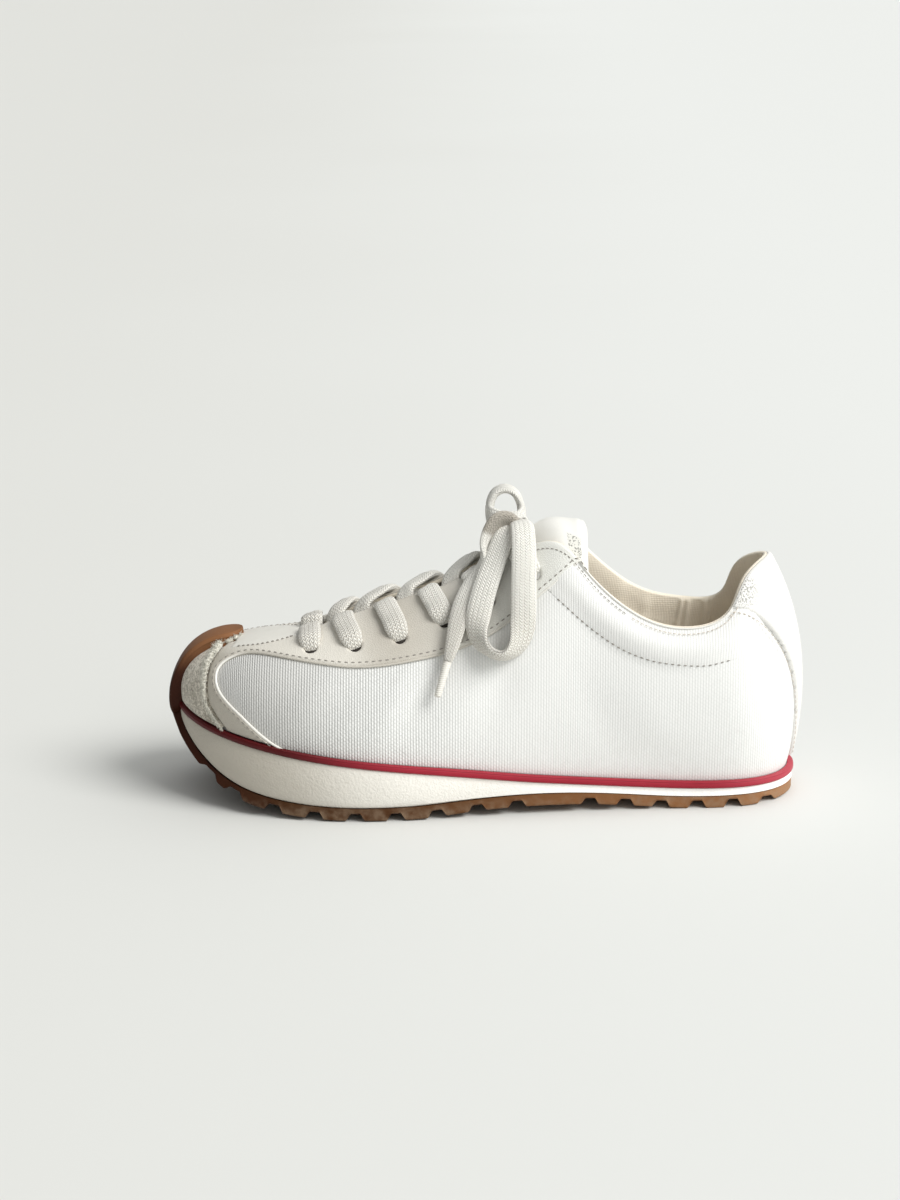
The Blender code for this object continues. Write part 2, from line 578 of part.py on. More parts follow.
def make_tongue():
    """Padded tongue: its sides lie under the facings and its top stands out of the opening."""
    face, pads = [], []
    for at, x, top, side, pad in TONGUE_ROWS:
        v = np.array([side, 0.5 * side + 0.49, 0.98])
        low = -(UPPER_WALL + GAP + 1.2 + 0.5 * (x < -18.0))
        outer, inner = upper_face(np.array([at, 1.0 - at]), v, low)
        bridge = []
        for edge in (outer[-1], inner[-1]):
            bridge.append(edge + (np.array([x, 0.0, top]) - edge) * (0.42, 0.42, 0.66))
        face.append([*outer, bridge[0], (x, 0.0, top), bridge[1], *inner[::-1]])
        pads.append(pad)
    face, pads = np.array(face), np.array(pads)
    normal = np.cross(np.gradient(face, axis=0), np.gradient(face, axis=1))
    normal /= np.linalg.norm(normal, axis=2)[:, :, None]
    share = np.array([0.4, 0.7, 0.9, 1.0, 1.0, 1.0, 0.9, 0.7, 0.4])
    under = face + (pads[:, None] * share)[:, :, None] * normal * np.sign(-normal[5, 4, 2])
    ribbon_solid("tongue", np.concatenate([face, under[:, ::-1]], axis=1), (0.78, 0.77, 0.72), 0.7)


# ---- Laces ----------------------------------------------------------------------------------
# Places of the eyelets: along the shoe by their pitch, with the height of each.
EYELET_HEIGHTS = (65.6, 67.2, 70.6, 76.8, 85.2, 97.0)
EYELETS = tuple((FIRST_EYELET - EYELET_PITCH * i, z) for i, z in enumerate(EYELET_HEIGHTS))


UPRIGHT = np.array([0.25, 0.0, 0.97])      # how the lace faces over the middle of the throat


def face_samples(side):
    """Parameters and places over the upper half of one side of the wall."""
    u = np.linspace(0.08, 0.5, 260) if side > 0 else np.linspace(0.92, 0.5, 260)
    v = np.linspace(0.5, 1.0, 60)
    return u, v, wall_curve(u, v)


def parameters_at(side, x, z=None):
    """Where the wall passes a place along the shoe: at a height, or else at its edge."""
    u, v, places = face_samples(side)
    if z is None:
        on_edge = np.argmin(abs(places[:, -1, 0] - x) + 5.0 * (places[:, -1, 0] < -34.0))
        return u[on_edge], 1.0
    away = (places[:, :, 0] - x) ** 2 + (places[:, :, 2] - z) ** 2
    i, j = np.unravel_index(np.argmin(away), away.shape)
    return u[i], v[j]


def lifted(side, start, end, steps, lift):
    """Points over the wall between two pairs of parameters, and the wall's normals there."""
    points, normals = [], []
    for share in np.linspace(0.0, 1.0, steps):
        u = np.array([start[0] + (end[0] - start[0]) * share])
        v = np.array([start[1] + (end[1] - start[1]) * share])
        low, high = upper_face(u, v)[0, 0], upper_face(u, v, 1.0)[0, 0]
        normals.append(high - low)
        points.append(low + (lift + CROSSING_RISE * share ** 2) * normals[-1])
    return points, normals


def strap_solid(name, points, normals, width):
    """A flat lace along points, its face turned to the normals, with pinched edges."""
    points, normals = np.array(points), np.array(normals)
    along = np.gradient(points, axis=0)
    along /= np.linalg.norm(along, axis=1)[:, None]
    across = np.cross(along, normals)
    across /= np.linalg.norm(across, axis=1)[:, None]
    face = np.cross(across, along)
    half, thick = width / 2, LACE_THICK / 2
    corners = ((half, 0.0), (0.62 * half, thick), (-0.62 * half, thick),
               (-half, 0.0), (-0.62 * half, -thick), (0.62 * half, -thick))
    sections = [[p + a * side + n * out for side, out in corners] for p, a, n in zip(points, across, face)]
    return triangulated(ribbon_solid(name, np.array(sections), LACE_COLOUR, 0.95))


def lace_path(side, eyelet, start_x):
    """From the far edge of the throat over its middle to an eyelet on one side."""
    edge_x = eyelet[0] + 0.30 * (start_x - eyelet[0])
    near_edge = parameters_at(side, edge_x)
    points, normals = lifted(side, parameters_at(side, *eyelet), near_edge, 4, LACE_LIFT)
    far_edge = parameters_at(-side, start_x)
    far_points, far_normals = lifted(-side, far_edge, far_edge, 1, LACE_LIFT + THROAT_ARCH)
    middle = 0.5 * (points[-1] + far_points[0]) + np.array([0.0, 0.0, THROAT_ARCH])
    return points + [middle] + far_points, normals + [UPRIGHT] + far_normals


def make_crossing(index):
    """One crossing of the lace over the throat, its two straps joined where they cross."""
    name = f"lace_cross_{index + 1}"
    eyelet = EYELETS[index]
    start_x = min(eyelet[0] + CROSSING_LEAD * EYELET_PITCH, FIRST_EYELET - LACE_WIDTH)
    straps = []
    for side, label in ((1, name), (-1, f"{name}_under")):
        points, normals = lace_path(side, eyelet, start_x)
        straps.append(strap_solid(label, points, normals, LACE_WIDTH))
    combine(*straps, "UNION")


def make_bar():
    """The first stretch of lace, straight across between the front pair of eyelets."""
    halves = [lifted(side, parameters_at(side, *EYELETS[0]), parameters_at(side, EYELETS[0][0]), 4, LACE_LIFT)
              for side in (1, -1)]
    (points, normals), (far_points, far_normals) = halves
    middle = 0.5 * (points[-1] + far_points[-1]) + np.array([0.0, 0.0, 0.5 * THROAT_ARCH])
    strap_solid("lace_bar_front", points + [middle] + far_points[::-1],
                normals + [UPRIGHT] + far_normals[::-1], LACE_WIDTH)


# Routes of the free lace, in order from the knot: two loops and two ends.
KNOT = (-13.0, 0.5, 114.0)
ROUTES = {
    "lace_loop_outer": ((-16.2, 8.8, 115.8), (-17.0, 15.2, 114.9), (-17.2, 20.8, 109.0), (-17.0, 27.0, 98.6),
                        (-16.6, 31.2, 88.8), (-16.0, 33.8, 79.8), (-13.6, 35.8, 71.6), (-8.4, 36.8, 67.8),
                        (-2.6, 35.8, 69.2), (1.8, 33.0, 74.8), (1.8, 28.6, 82.4), (-0.5, 24.0, 90.8),
                        (-3.4, 19.8, 99.4), (-7.0, 14.8, 107.0), (-9.4, 10.4, 110.8)),
    "lace_loop_inner": ((-16.4, -7.4, 113.2), (-17.2, -12.4, 114.0), (-16.6, -16.8, 117.8),
                        (-14.4, -18.6, 122.2), (-10.2, -19.2, 124.0), (-6.0, -18.6, 122.2),
                        (-4.0, -16.8, 117.8), (-4.0, -12.4, 114.0), (-6.6, -7.6, 113.4)),
    "lace_end_outer": ((-5.2, 4.8, 116.6), (-3.4, 6.4, 114.6), (-0.6, 8.6, 110.6), (1.4, 11.8, 106.4),
                       (3.4, 17.0, 100.0), (6.2, 21.4, 91.8), (9.0, 25.2, 83.8), (11.0, 28.8, 76.8),
                       (12.6, 32.6, 70.8), (14.4, 35.6, 64.8)),
    "lace_end_inner": ((-11.0, -11.2, 111.4), (-9.2, -17.0, 107.4), (-7.8, -21.2, 99.0), (-6.0, -25.0, 90.4),
                       (-4.0, -28.2, 82.0), (-1.6, -30.8, 73.6), (1.6, -32.6, 66.0), (4.8, -34.0, 58.8)),
}


def add_tube(name, route):
    """A plain tube along a smooth route."""
    points = np.array(route, float)
    run = np.concatenate([[0.0], np.cumsum(np.linalg.norm(np.diff(points, axis=0), axis=1))])
    count = int(round(run[-1] / (2.2 * 2 * LACE_TUBE))) + 1
    smooth = (spline_at(run, points, np.linspace(0.0, run[-1], count)) - (*SHOE_MIDDLE, 0.0)) * MM
    curve = bpy.data.curves.new(name, "CURVE")
    curve.dimensions = "3D"
    curve.bevel_depth = LACE_TUBE * MM
    curve.bevel_resolution = 2
    curve.use_fill_caps = True
    spline = curve.splines.new("POLY")
    spline.points.add(count - 1)
    for point, place in zip(spline.points, smooth):
        point.co = (*place, 1.0)
    tube = bpy.data.objects.new(name, curve)
    bpy.context.scene.collection.objects.link(tube)
    curve.materials.append(finish(name, LACE_COLOUR, 0.95))


def add_aglet(name, route):
    """The wrapped tip of an end, in line with its last stretch."""
    last, before = np.array(route[-1]), np.array(route[-2])
    along = (last - before) / np.linalg.norm(last - before)
    side = np.cross(along, (1.0, 0.0, 0.0))
    side /= np.linalg.norm(side)
    other = np.cross(along, side)
    stations_along = ((0.5, 0.8), (1.6, 1.0), (AGLET_LENGTH - 1.2, 0.85), (AGLET_LENGTH, 0.5))
    angles = np.arange(8) * np.pi / 4
    sections = [[last + along * run + AGLET_RADIUS * scale * (np.cos(a) * side + np.sin(a) * other)
                 for a in angles] for run, scale in stations_along]
    ribbon_solid(name, np.array(sections), (0.82, 0.80, 0.74), 0.6)


def make_knot():
    """The bow's knot, over the tongue between the top eyelets."""
    rings = []
    for tilt in np.radians((-66, -33, 0, 33, 66)):
        angles = np.arange(12) * np.pi / 6
        rings.append([(KNOT[0] + KNOT_SIZE[0] * np.sin(tilt),
                       KNOT[1] + KNOT_SIZE[1] * np.cos(tilt) * np.cos(a),
                       KNOT[2] + KNOT_SIZE[2] * np.cos(tilt) * np.sin(a)) for a in angles])
    ribbon_solid("lace_knot", np.array(rings), LACE_COLOUR, 0.95)


def make_laces():
    """Bar, crossings and tie over the throat, and the bow with its loops and ends."""
    make_bar()
    for index in range(1, len(EYELETS)):
        make_crossing(index)
    make_knot()
    for name, route in ROUTES.items():
        add_tube(name, route)
        if "end" in name:
            add_aglet(name.replace("lace_end", "aglet"), route)


def clear_scene():
    """Remove what the file held before."""
    for old in list(bpy.data.objects):
        bpy.data.objects.remove(old, do_unlink=True)


def build():
    """Every piece of the shoe, from the floor up."""
    clear_scene()
    make_outsole()
    make_midsole()
    make_tape()
    make_upper()
    make_insole()
    make_tongue()
    make_facing()
    make_toe_cap()
    make_counter()
    make_laces()


build()
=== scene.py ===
import bmesh
import bpy
import numpy as np
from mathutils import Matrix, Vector


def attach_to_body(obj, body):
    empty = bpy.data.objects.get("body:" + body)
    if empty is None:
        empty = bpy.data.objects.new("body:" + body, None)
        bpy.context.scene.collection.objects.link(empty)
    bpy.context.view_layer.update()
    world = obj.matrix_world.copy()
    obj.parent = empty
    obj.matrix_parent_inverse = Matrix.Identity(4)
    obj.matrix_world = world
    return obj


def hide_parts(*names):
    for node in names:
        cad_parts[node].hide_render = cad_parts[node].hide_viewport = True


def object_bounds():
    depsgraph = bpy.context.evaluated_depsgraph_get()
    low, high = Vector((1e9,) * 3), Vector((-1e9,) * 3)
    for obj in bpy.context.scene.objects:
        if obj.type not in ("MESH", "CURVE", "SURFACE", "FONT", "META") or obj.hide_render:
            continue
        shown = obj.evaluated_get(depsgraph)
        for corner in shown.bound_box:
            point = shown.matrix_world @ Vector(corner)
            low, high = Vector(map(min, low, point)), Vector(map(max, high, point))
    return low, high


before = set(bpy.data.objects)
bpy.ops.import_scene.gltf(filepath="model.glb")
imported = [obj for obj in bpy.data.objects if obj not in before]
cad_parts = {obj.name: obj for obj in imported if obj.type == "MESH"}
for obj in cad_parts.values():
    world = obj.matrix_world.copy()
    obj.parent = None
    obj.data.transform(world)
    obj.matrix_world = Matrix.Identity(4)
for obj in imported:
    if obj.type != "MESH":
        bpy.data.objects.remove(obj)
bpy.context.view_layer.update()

# ---- Camera, floor and light ----------------------------------------------------------------
# The shoe stands on a pale seamless floor with its outer side to the camera. A wide soft lamp
# stands high on the heel's side, and the pale room fills the shadows towards the toe.
MM = 0.001
bpy.ops.object.select_all(action="DESELECT")
aim = Vector((14.6, -0.6, 80.9)) * MM
distance = 1.1
rise, turn = np.radians(15.5), np.radians(0.655)
back = Vector((np.sin(turn) * np.cos(rise), np.cos(turn) * np.cos(rise), np.sin(rise)))
camera = bpy.data.objects.new("camera", bpy.data.cameras.new("camera"))
camera.data.lens = 79.32
camera.data.clip_end = 60.0
camera.location = aim + distance * back
camera.rotation_euler = (-back).to_track_quat("-Z", "Y").to_euler()
bpy.context.scene.collection.objects.link(camera)
bpy.context.scene.camera = camera
bpy.context.scene.view_settings.view_transform = "Standard"

bpy.ops.mesh.primitive_plane_add(size=50.0, location=(0.0, 0.0, 0.0))
floor = bpy.context.object
floor.name = "floor"
floor.location.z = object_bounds()[0].z


class Wire:
    """A socket of a material, so that masks, heights and mixes are written as sums."""

    def __init__(self, tree, socket):
        self.tree, self.socket = tree, socket

    def node(self, kind, out=0, feeds=None, **settings):
        """A new node: its settings first, then a number or a wire for each of its inputs."""
        made = self.tree.nodes.new("ShaderNode" + kind)
        for name, value in settings.items():
            setattr(made, name, value)
        for key, value in (feeds or {}).items():
            if isinstance(value, Wire):
                self.tree.links.new(value.socket, made.inputs[key])
            else:
                made.inputs[key].default_value = value
        return Wire(self.tree, made.outputs[out])

    def math(self, operation, *others):
        return self.node("Math", operation=operation, feeds=dict(enumerate((self, *others))))

    def __add__(self, other):
        return self.math("ADD", other)

    def __sub__(self, other):
        return self.math("SUBTRACT", other)

    def __rsub__(self, other):
        return self.node("Math", operation="SUBTRACT", feeds={0: other, 1: self})

    def __mul__(self, other):
        return self.math("MULTIPLY", other)

    def __truediv__(self, other):
        return self.math("DIVIDE", other)

    __radd__ = __add__
    __rmul__ = __mul__

    def between(self, low, high):
        """0 below low and 1 above high, with soft ends; low may be the higher one."""
        return self.node("MapRange", interpolation_type="SMOOTHSTEP",
                         feeds={"Value": self, "From Min": low, "From Max": high})

    def wave(self):
        """From 0 to 1 and back for every step of one."""
        return 0.5 - 0.5 * (self * 2.0 * np.pi).math("COSINE")

    def xyz(self):
        return [self.node("SeparateXYZ", out=i, feeds={0: self}) for i in range(3)]

    def noise(self, scale, detail=3.0, roughness=0.55):
        return self.node("TexNoise", feeds={"Vector": self, "Scale": scale, "Detail": detail,
                                            "Roughness": roughness})

    def blend(self, low, high):
        """One colour where the wire is 0 and another where it is 1."""
        rgba = [(*c, 1.0) if isinstance(c, tuple) else c for c in (low, high)]
        return self.node("Mix", out=2, data_type="RGBA", feeds={0: self, 6: rgba[0], 7: rgba[1]})

    def relief(self, depth, strength):
        """A bump of this height in metres, for a height from 0 to 1."""
        return self.node("Bump", feeds={"Height": self, "Strength": strength, "Distance": depth})


def new_finish(name, roughness, **sockets):
    """A material, the wire of object coordinates, that of the piece's own map, and its shader."""
    made = bpy.data.materials.new(name)
    made.use_nodes = True
    tree = made.node_tree
    shader = tree.nodes["Principled BSDF"]
    shader.inputs["Roughness"].default_value = roughness
    for key, value in sockets.items():
        shader.inputs[key.replace("_", " ")].default_value = value
    start = Wire(tree, None)
    return made, start.node("TexCoord", out=3), start.node("UVMap", uv_map="places"), shader


def attach(shader, **wires):
    """Feeds the sockets of a shader that vary over the surface."""
    for key, wire in wires.items():
        wire.tree.links.new(wire.socket, shader.inputs[key.replace("_", " ")])


floor_paint, room, _, shader = new_finish("floor_paint", 0.75)
across, _, _ = room.xyz()
# The floor is painted darker towards the toe and lighter towards the heel: painted shade and painted light
# over the floor.
painted_floor_light = (across + 0.25 * room.noise(1.3, 2.0)).between(0.55, -0.30)
attach(shader, Base_Color=painted_floor_light.blend((0.69, 0.69, 0.665), (0.775, 0.785, 0.77)))
floor.data.materials.append(floor_paint)

world = bpy.data.worlds.new("room")
world.use_nodes = True
sky = Wire(world.node_tree, None).node("TexCoord").xyz()[0]
glow = world.node_tree.nodes["Background"]
glow.inputs["Color"].default_value = (0.985, 1.0, 0.985, 1.0)
world.node_tree.links.new((0.58 - 0.52 * sky).socket, glow.inputs["Strength"])
bpy.context.scene.world = world
lamp = bpy.data.objects.new("lamp", bpy.data.lights.new("lamp", "SUN"))
lamp.data.energy = 2.5
lamp.data.angle = np.radians(33.0)
lamp.data.color = (1.0, 0.995, 0.975)
lamp.rotation_euler = Vector((0.68, -0.40, -0.78)).to_track_quat("-Z", "Y").to_euler()
bpy.context.scene.collection.objects.link(lamp)

# ---- The bow --------------------------------------------------------------------------------
# One flat braided cotton lace, about 9 mm wide and soft enough to swell, tied in a bow over the
# tongue: two loops and two ends, each end bound into a stiff tip.
LACE_WIDTH, LACE_THICK = 9.2, 3.5
LACE_STEP = 0.7            # between the rings of its mesh
PAINTED_SHADE_MARK = 40.0              # added across the map of the piece whose root is painted darker, as painted shade
TIP_RADIUS, TIP_LENGTH, TIP_OVERLAP = 1.75, 16.0, 1.0
HOME = np.array([-1.6, 0.6, 0.0])      # the middle of the whole shoe, from the sole's own middle


def spline_slopes(knots, values, closed):
    """Slopes at the knots of the cubic spline with continuous curvature."""
    count = len(values)
    system, right = np.zeros((count, count)), np.zeros_like(values)
    for i in range(count):
        before, after = i - 1, (i + 1) % count
        if not closed and i in (0, count - 1):
            near, far = (0, 1) if i == 0 else (count - 1, count - 2)
            system[i, near], system[i, far] = 2.0, 1.0
            rise = values[far] - values[near] if i == 0 else values[near] - values[far]
            right[i] = 3.0 * rise / abs(knots[far] - knots[near])
            continue
        h0 = knots[i] - knots[i - 1] if i else knots[count] - knots[count - 1]
        h1 = knots[i + 1] - knots[i]
        system[i, before] += 1.0 / h0
        system[i, i] += 2.0 / h0 + 2.0 / h1
        system[i, after] += 1.0 / h1
        right[i] = 3.0 * ((values[i] - values[before]) / h0 ** 2 + (values[after] - values[i]) / h1 ** 2)
    return np.linalg.solve(system, right)


def spline_at(knots, values, where, closed=False):
    """Values of the spline through (knots, values) at the parameters in where."""
    slopes = spline_slopes(knots, values, closed)
    if closed:
        values, slopes = np.vstack([values, values[:1]]), np.vstack([slopes, slopes[:1]])
    i = np.clip(np.searchsorted(knots, where, side="right") - 1, 0, len(knots) - 2)
    h = (knots[i + 1] - knots[i])[:, None]
    t = ((where - knots[i]) / h[:, 0])[:, None]
    return ((1 + 2 * t) * (1 - t) ** 2 * values[i] + t * (1 - t) ** 2 * h * slopes[i]
            + t ** 2 * (3 - 2 * t) * values[i + 1] + t ** 2 * (t - 1) * h * slopes[i + 1])


def run_of(points):
    """Distance along a line of points."""
    return np.concatenate([[0.0], np.cumsum(np.linalg.norm(np.diff(points, axis=0), axis=1))])


def unit(vectors):
    return vectors / np.linalg.norm(vectors, axis=-1, keepdims=True)


def resampled(points, step, *others):
    """A spline through points at even steps, and other columns carried along with it."""
    points = np.array(points, float)
    run = run_of(points)
    table = np.hstack([points, *[np.array(o, float).reshape(len(points), -1) for o in others]])
    fine = np.linspace(0.0, run[-1], 400)
    true_run = run_of(spline_at(run, table, fine)[:, :3])
    count = max(2, int(round(true_run[-1] / step)) + 1)
    return spline_at(run, table, np.interp(np.linspace(0.0, true_run[-1], count), true_run, fine))


def grid_faces(count, size):
    """Quads between closed rings of points, each ring of one size."""
    i, j = np.meshgrid(np.arange(count - 1), np.arange(size), indexing="ij")
    k = (j + 1) % size
    quads = np.stack([i * size + j, i * size + k, (i + 1) * size + k, (i + 1) * size + j], axis=-1)
    return quads.reshape(-1, 4).tolist()


def tube_faces(count, size):
    """Quads round a tube of rings, and a face over each of its ends."""
    return grid_faces(count, size) + [list(range(size)), [(count - 1) * size + k for k in range(size)]]


def hoop_faces(count, size):
    """Quads round rings of which the last meets the first again."""
    total = count * size
    return [[k % total for k in quad] for quad in grid_faces(count + 1, size)]


def new_piece(name, points, faces, finish, places=None, sharp=None, node=None):
    """A piece from points in millimetres over the sole, with faces outwards, riding on the shoe."""
    mesh = bpy.data.meshes.new(name)
    mesh.from_pydata(((np.asarray(points, float) - HOME) * MM).tolist(), [], faces)
    body = bmesh.new()
    body.from_mesh(mesh)
    bmesh.ops.recalc_face_normals(body, faces=body.faces)
    if body.calc_volume(signed=True) < 0.0:
        bmesh.ops.reverse_faces(body, faces=body.faces)
    body.to_mesh(mesh)
    body.free()
    if places is not None:
        corners = np.empty(len(mesh.loops), int)
        mesh.loops.foreach_get("vertex_index", corners)
        layer = mesh.uv_layers.new(name="places")
        layer.data.foreach_set("uv", np.asarray(places, np.float32)[corners].ravel())
    mesh.shade_smooth()
    if sharp:
        mesh.set_sharp_from_angle(angle=np.radians(sharp))
    mesh.materials.append(finish)
    piece = bpy.data.objects.new(name, mesh)
    bpy.context.scene.collection.objects.link(piece)
    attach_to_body(piece, "root")
    if node:
        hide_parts(node)
    return piece


def ribbon(points, faces, widths, thicks, mark):
    """Rings of points round a flat lace, and how far each is across and along it. The mark is added to the
    first, so that the material can tell the piece from others and paint shade on its root."""
    along = unit(np.gradient(points, axis=0))
    across = unit(np.cross(along, faces))
    out = np.cross(across, along)
    angles = np.arange(24) * np.pi / 12
    side = np.sign(np.cos(angles)) * abs(np.cos(angles)) ** 0.84
    rise = np.sign(np.sin(angles)) * abs(np.sin(angles)) ** 0.92
    rise = rise * (1.0 - 0.10 * np.exp(-(side / 0.22) ** 2))
    rings = (points[:, None] + across[:, None] * (side[None, :, None] * widths[:, None, None] / 2)
             + out[:, None] * (rise[None, :, None] * thicks[:, None, None] / 2))
    girth = np.cumsum(np.hypot(np.diff(side, append=side[0]), 0.3 * np.diff(rise, append=rise[0])))
    places = np.stack(np.broadcast_arrays(np.concatenate([[0.0], girth[:-1]])[None, :] * 4.6 + mark,
                                          run_of(points)[:, None]), axis=-1)
    return rings, places


def add_lace(name, points, faces, widths, thicks, node, mark=0.0):
    """A piece of the flat lace along even points, closed at both ends."""
    rings, places = ribbon(points, faces, widths, thicks, mark)
    return new_piece(name, rings.reshape(-1, 3), tube_faces(*rings.shape[:2]), lace_cotton,
                     places.reshape(-1, 2), node=node)


lace_cotton, place, braid, shader = new_finish("lace_cotton", 0.92, Sheen_Weight=0.25, Sheen_Roughness=0.5)
across, along, _ = braid.xyz()
column = across / 1.75
lean = ((column + 0.5).math("FRACT") - 0.5).math("ABSOLUTE") * 2.0
fuzz = braid.noise(2.2, 5.0, 0.65)
plait = (along / 1.25 + (column.math("FLOOR") * 0.5).math("FRACT") - 0.75 * lean + 0.5 * fuzz).wave()
furrow = lean.between(0.25, 0.0)
height = 0.60 * plait - 0.25 * furrow + 0.50 * fuzz
# Lighter on the plaits and darker in the furrows between them: the braid's own tone, with painted shade in
# its furrows.
shade = (0.50 * plait - 0.20 * furrow + 0.55 * fuzz).between(0.0, 0.95)
# The root of the outer end is painted darker: painted shade on the underside of its arch, which faces away
# from the lamp.
beneath = along.between(17.0, 14.0) * across.between(PAINTED_SHADE_MARK - 10.0, PAINTED_SHADE_MARK - 9.0)
_, _, high = place.xyz()
# Darker low down and lighter high up: painted shade on the straps and painted light on the loops.
painted_shade_by_height = high.between(0.074, 0.096).blend((0.60, 0.55, 0.475), (0.90, 0.87, 0.80))
base = shade.blend(painted_shade_by_height, (1.0, 0.985, 0.925))
attach(shader, Base_Color=(0.85 * beneath).blend(base, (0.40, 0.355, 0.295)),
       Normal=height.relief(0.00062, 0.95))

# Routes of the lace from the knot, each point with the way its flat side faces.
LOOP_OUTER = (((-13.5, 1.0, 113.6), (0.1, 0.3, 1.0)), ((-16.0, 7.6, 115.0), (0.0, 0.3, 1.0)),
              ((-16.6, 14.0, 113.6), (-0.1, 0.6, 0.8)), ((-16.8, 20.0, 108.2), (-0.1, 0.8, 0.5)),
              ((-16.6, 26.4, 98.0), (0.0, 0.9, 0.45)), ((-16.4, 30.6, 88.4), (0.0, 0.93, 0.4)),
              ((-16.0, 33.6, 79.6), (-0.2, 0.95, 0.2)), ((-13.6, 35.8, 71.6), (-0.5, 0.75, -0.3)),
              ((-8.4, 36.8, 67.8), (-0.1, 0.5, -0.85)), ((-2.6, 35.8, 69.2), (0.3, 0.5, -0.8)),
              ((1.8, 33.0, 74.8), (0.6, 0.75, -0.1)), ((1.8, 28.6, 82.4), (0.25, 0.93, 0.3)),
              ((-0.5, 24.0, 90.8), (0.2, 0.85, 0.5)), ((-3.6, 19.0, 98.8), (0.25, 0.75, 0.6)),
              ((-7.0, 13.8, 106.2), (0.3, 0.6, 0.75)), ((-10.0, 8.2, 111.6), (0.2, 0.4, 0.9)),
              ((-13.5, 1.6, 113.2), (0.1, 0.1, 1.0)))
LOOP_INNER = (((-13.5, -1.0, 113.2), (-0.2, 0.0, 1.0)), ((-16.4, -6.6, 113.0), (-0.9, 0.0, 0.5)),
              ((-17.2, -12.4, 114.0), (-1.0, 0.0, 0.1)), ((-16.6, -16.8, 117.8), (-1.0, 0.0, 0.2)),
              ((-14.4, -18.6, 122.2), (-0.7, 0.0, 0.7)), ((-10.2, -19.2, 124.0), (0.0, 0.0, 1.0)),
              ((-6.0, -18.6, 122.2), (0.7, 0.0, 0.7)), ((-4.0, -16.8, 117.8), (1.0, 0.0, 0.2)),
              ((-4.0, -12.4, 114.0), (1.0, 0.0, 0.1)), ((-7.0, -6.6, 113.0), (0.8, 0.0, 0.6)),
              ((-12.5, -1.0, 114.0), (0.2, 0.0, 1.0)))
END_OUTER = (((-13.4, 3.0, 113.4), (0.1, -0.6, 0.8)), ((-11.0, 4.6, 116.2), (0.2, -0.8, 0.55)),
             ((-7.4, 5.8, 116.6), (0.35, -0.85, 0.45)), ((-4.4, 6.6, 113.2), (0.5, -0.8, 0.35)),
             ((-2.6, 7.6, 109.0), (0.6, -0.75, 0.3)), ((-1.6, 9.4, 104.8), (0.75, -0.6, 0.3)),
             ((-0.2, 12.2, 100.2), (0.95, 0.1, 0.3)), ((2.4, 16.0, 95.0), (0.7, 0.6, 0.4)),
             ((5.8, 20.4, 89.0), (0.35, 0.85, 0.5)), ((9.0, 24.8, 82.2), (0.3, 0.9, 0.45)),
             ((11.0, 28.8, 75.8), (0.25, 0.93, 0.35)), ((12.6, 32.6, 70.2), (0.2, 0.96, 0.25)),
             ((14.4, 35.6, 64.8), (0.2, 0.96, 0.25)))
END_INNER = (((-13.4, -3.0, 113.2), (0.1, -0.6, 0.8)), ((-12.2, -8.8, 111.8), (0.1, -0.6, 0.8)),
             ((-9.6, -16.0, 106.8), (0.2, -0.8, 0.6)), ((-7.8, -20.8, 98.6), (0.2, -0.9, 0.45)),
             ((-6.0, -24.6, 90.0), (0.2, -0.92, 0.35)), ((-4.0, -27.8, 81.6), (0.2, -0.94, 0.3)),
             ((-1.6, -30.4, 73.2), (0.2, -0.96, 0.2)), ((1.6, -32.4, 65.8), (0.2, -0.96, 0.2)),
             ((4.8, -34.0, 58.8), (0.2, -0.96, 0.2)))


def lace_tip(name, end, before, node):
    """An end's stiff wrapped tip: a cylinder drawn thinner to its end and turned in line with it."""
    way = unit(np.array(end) - np.array(before))
    turn = Vector(way).to_track_quat("Z", "Y")
    middle = np.array(end) + way * (0.5 * TIP_LENGTH - TIP_OVERLAP)
    bpy.ops.object.select_all(action="DESELECT")
    bpy.ops.mesh.primitive_cylinder_add(vertices=20, radius=TIP_RADIUS * MM, depth=TIP_LENGTH * MM,
                                        location=((middle - HOME) * MM), rotation=turn.to_euler())
    tip = bpy.context.object
    tip.name = name
    bpy.ops.object.mode_set(mode="EDIT")
    bpy.ops.mesh.select_mode(type="FACE")
    bpy.ops.mesh.select_all(action="DESELECT")
    bpy.ops.object.mode_set(mode="OBJECT")
    far = max(tip.data.polygons, key=lambda f: (f.center.z, f.area))
    far.select = True
    bpy.ops.object.mode_set(mode="EDIT")
    bpy.ops.transform.resize(value=(0.78, 0.78, 0.78))
    bpy.ops.mesh.select_all(action="SELECT")
    bpy.ops.mesh.subdivide(number_cuts=1)
    bpy.ops.object.mode_set(mode="OBJECT")
    round_off = tip.modifiers.new("round_off", "BEVEL")
    round_off.width, round_off.segments, round_off.limit_method = 0.5 * MM, 3, "ANGLE"
    bpy.ops.object.modifier_apply(modifier="round_off")
    bpy.ops.object.transform_apply(location=True, rotation=True, scale=True)
    bpy.ops.object.shade_smooth_by_angle(angle=np.radians(50))
    tip.data.materials.clear()
    tip.data.materials.append(tip_binding)
    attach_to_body(tip, "root")
    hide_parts(node)
    return tip


tip_binding, place, _, shader = new_finish("tip_binding", 0.5, Sheen_Weight=0.1)
_, _, up = place.xyz()
turns = (up * 1400.0 + place.noise(900.0, 2.0) * 0.6).wave()
attach(shader, Base_Color=turns.blend((0.68, 0.65, 0.59), (0.84, 0.82, 0.765)),
       Normal=turns.relief(0.00012, 0.8))

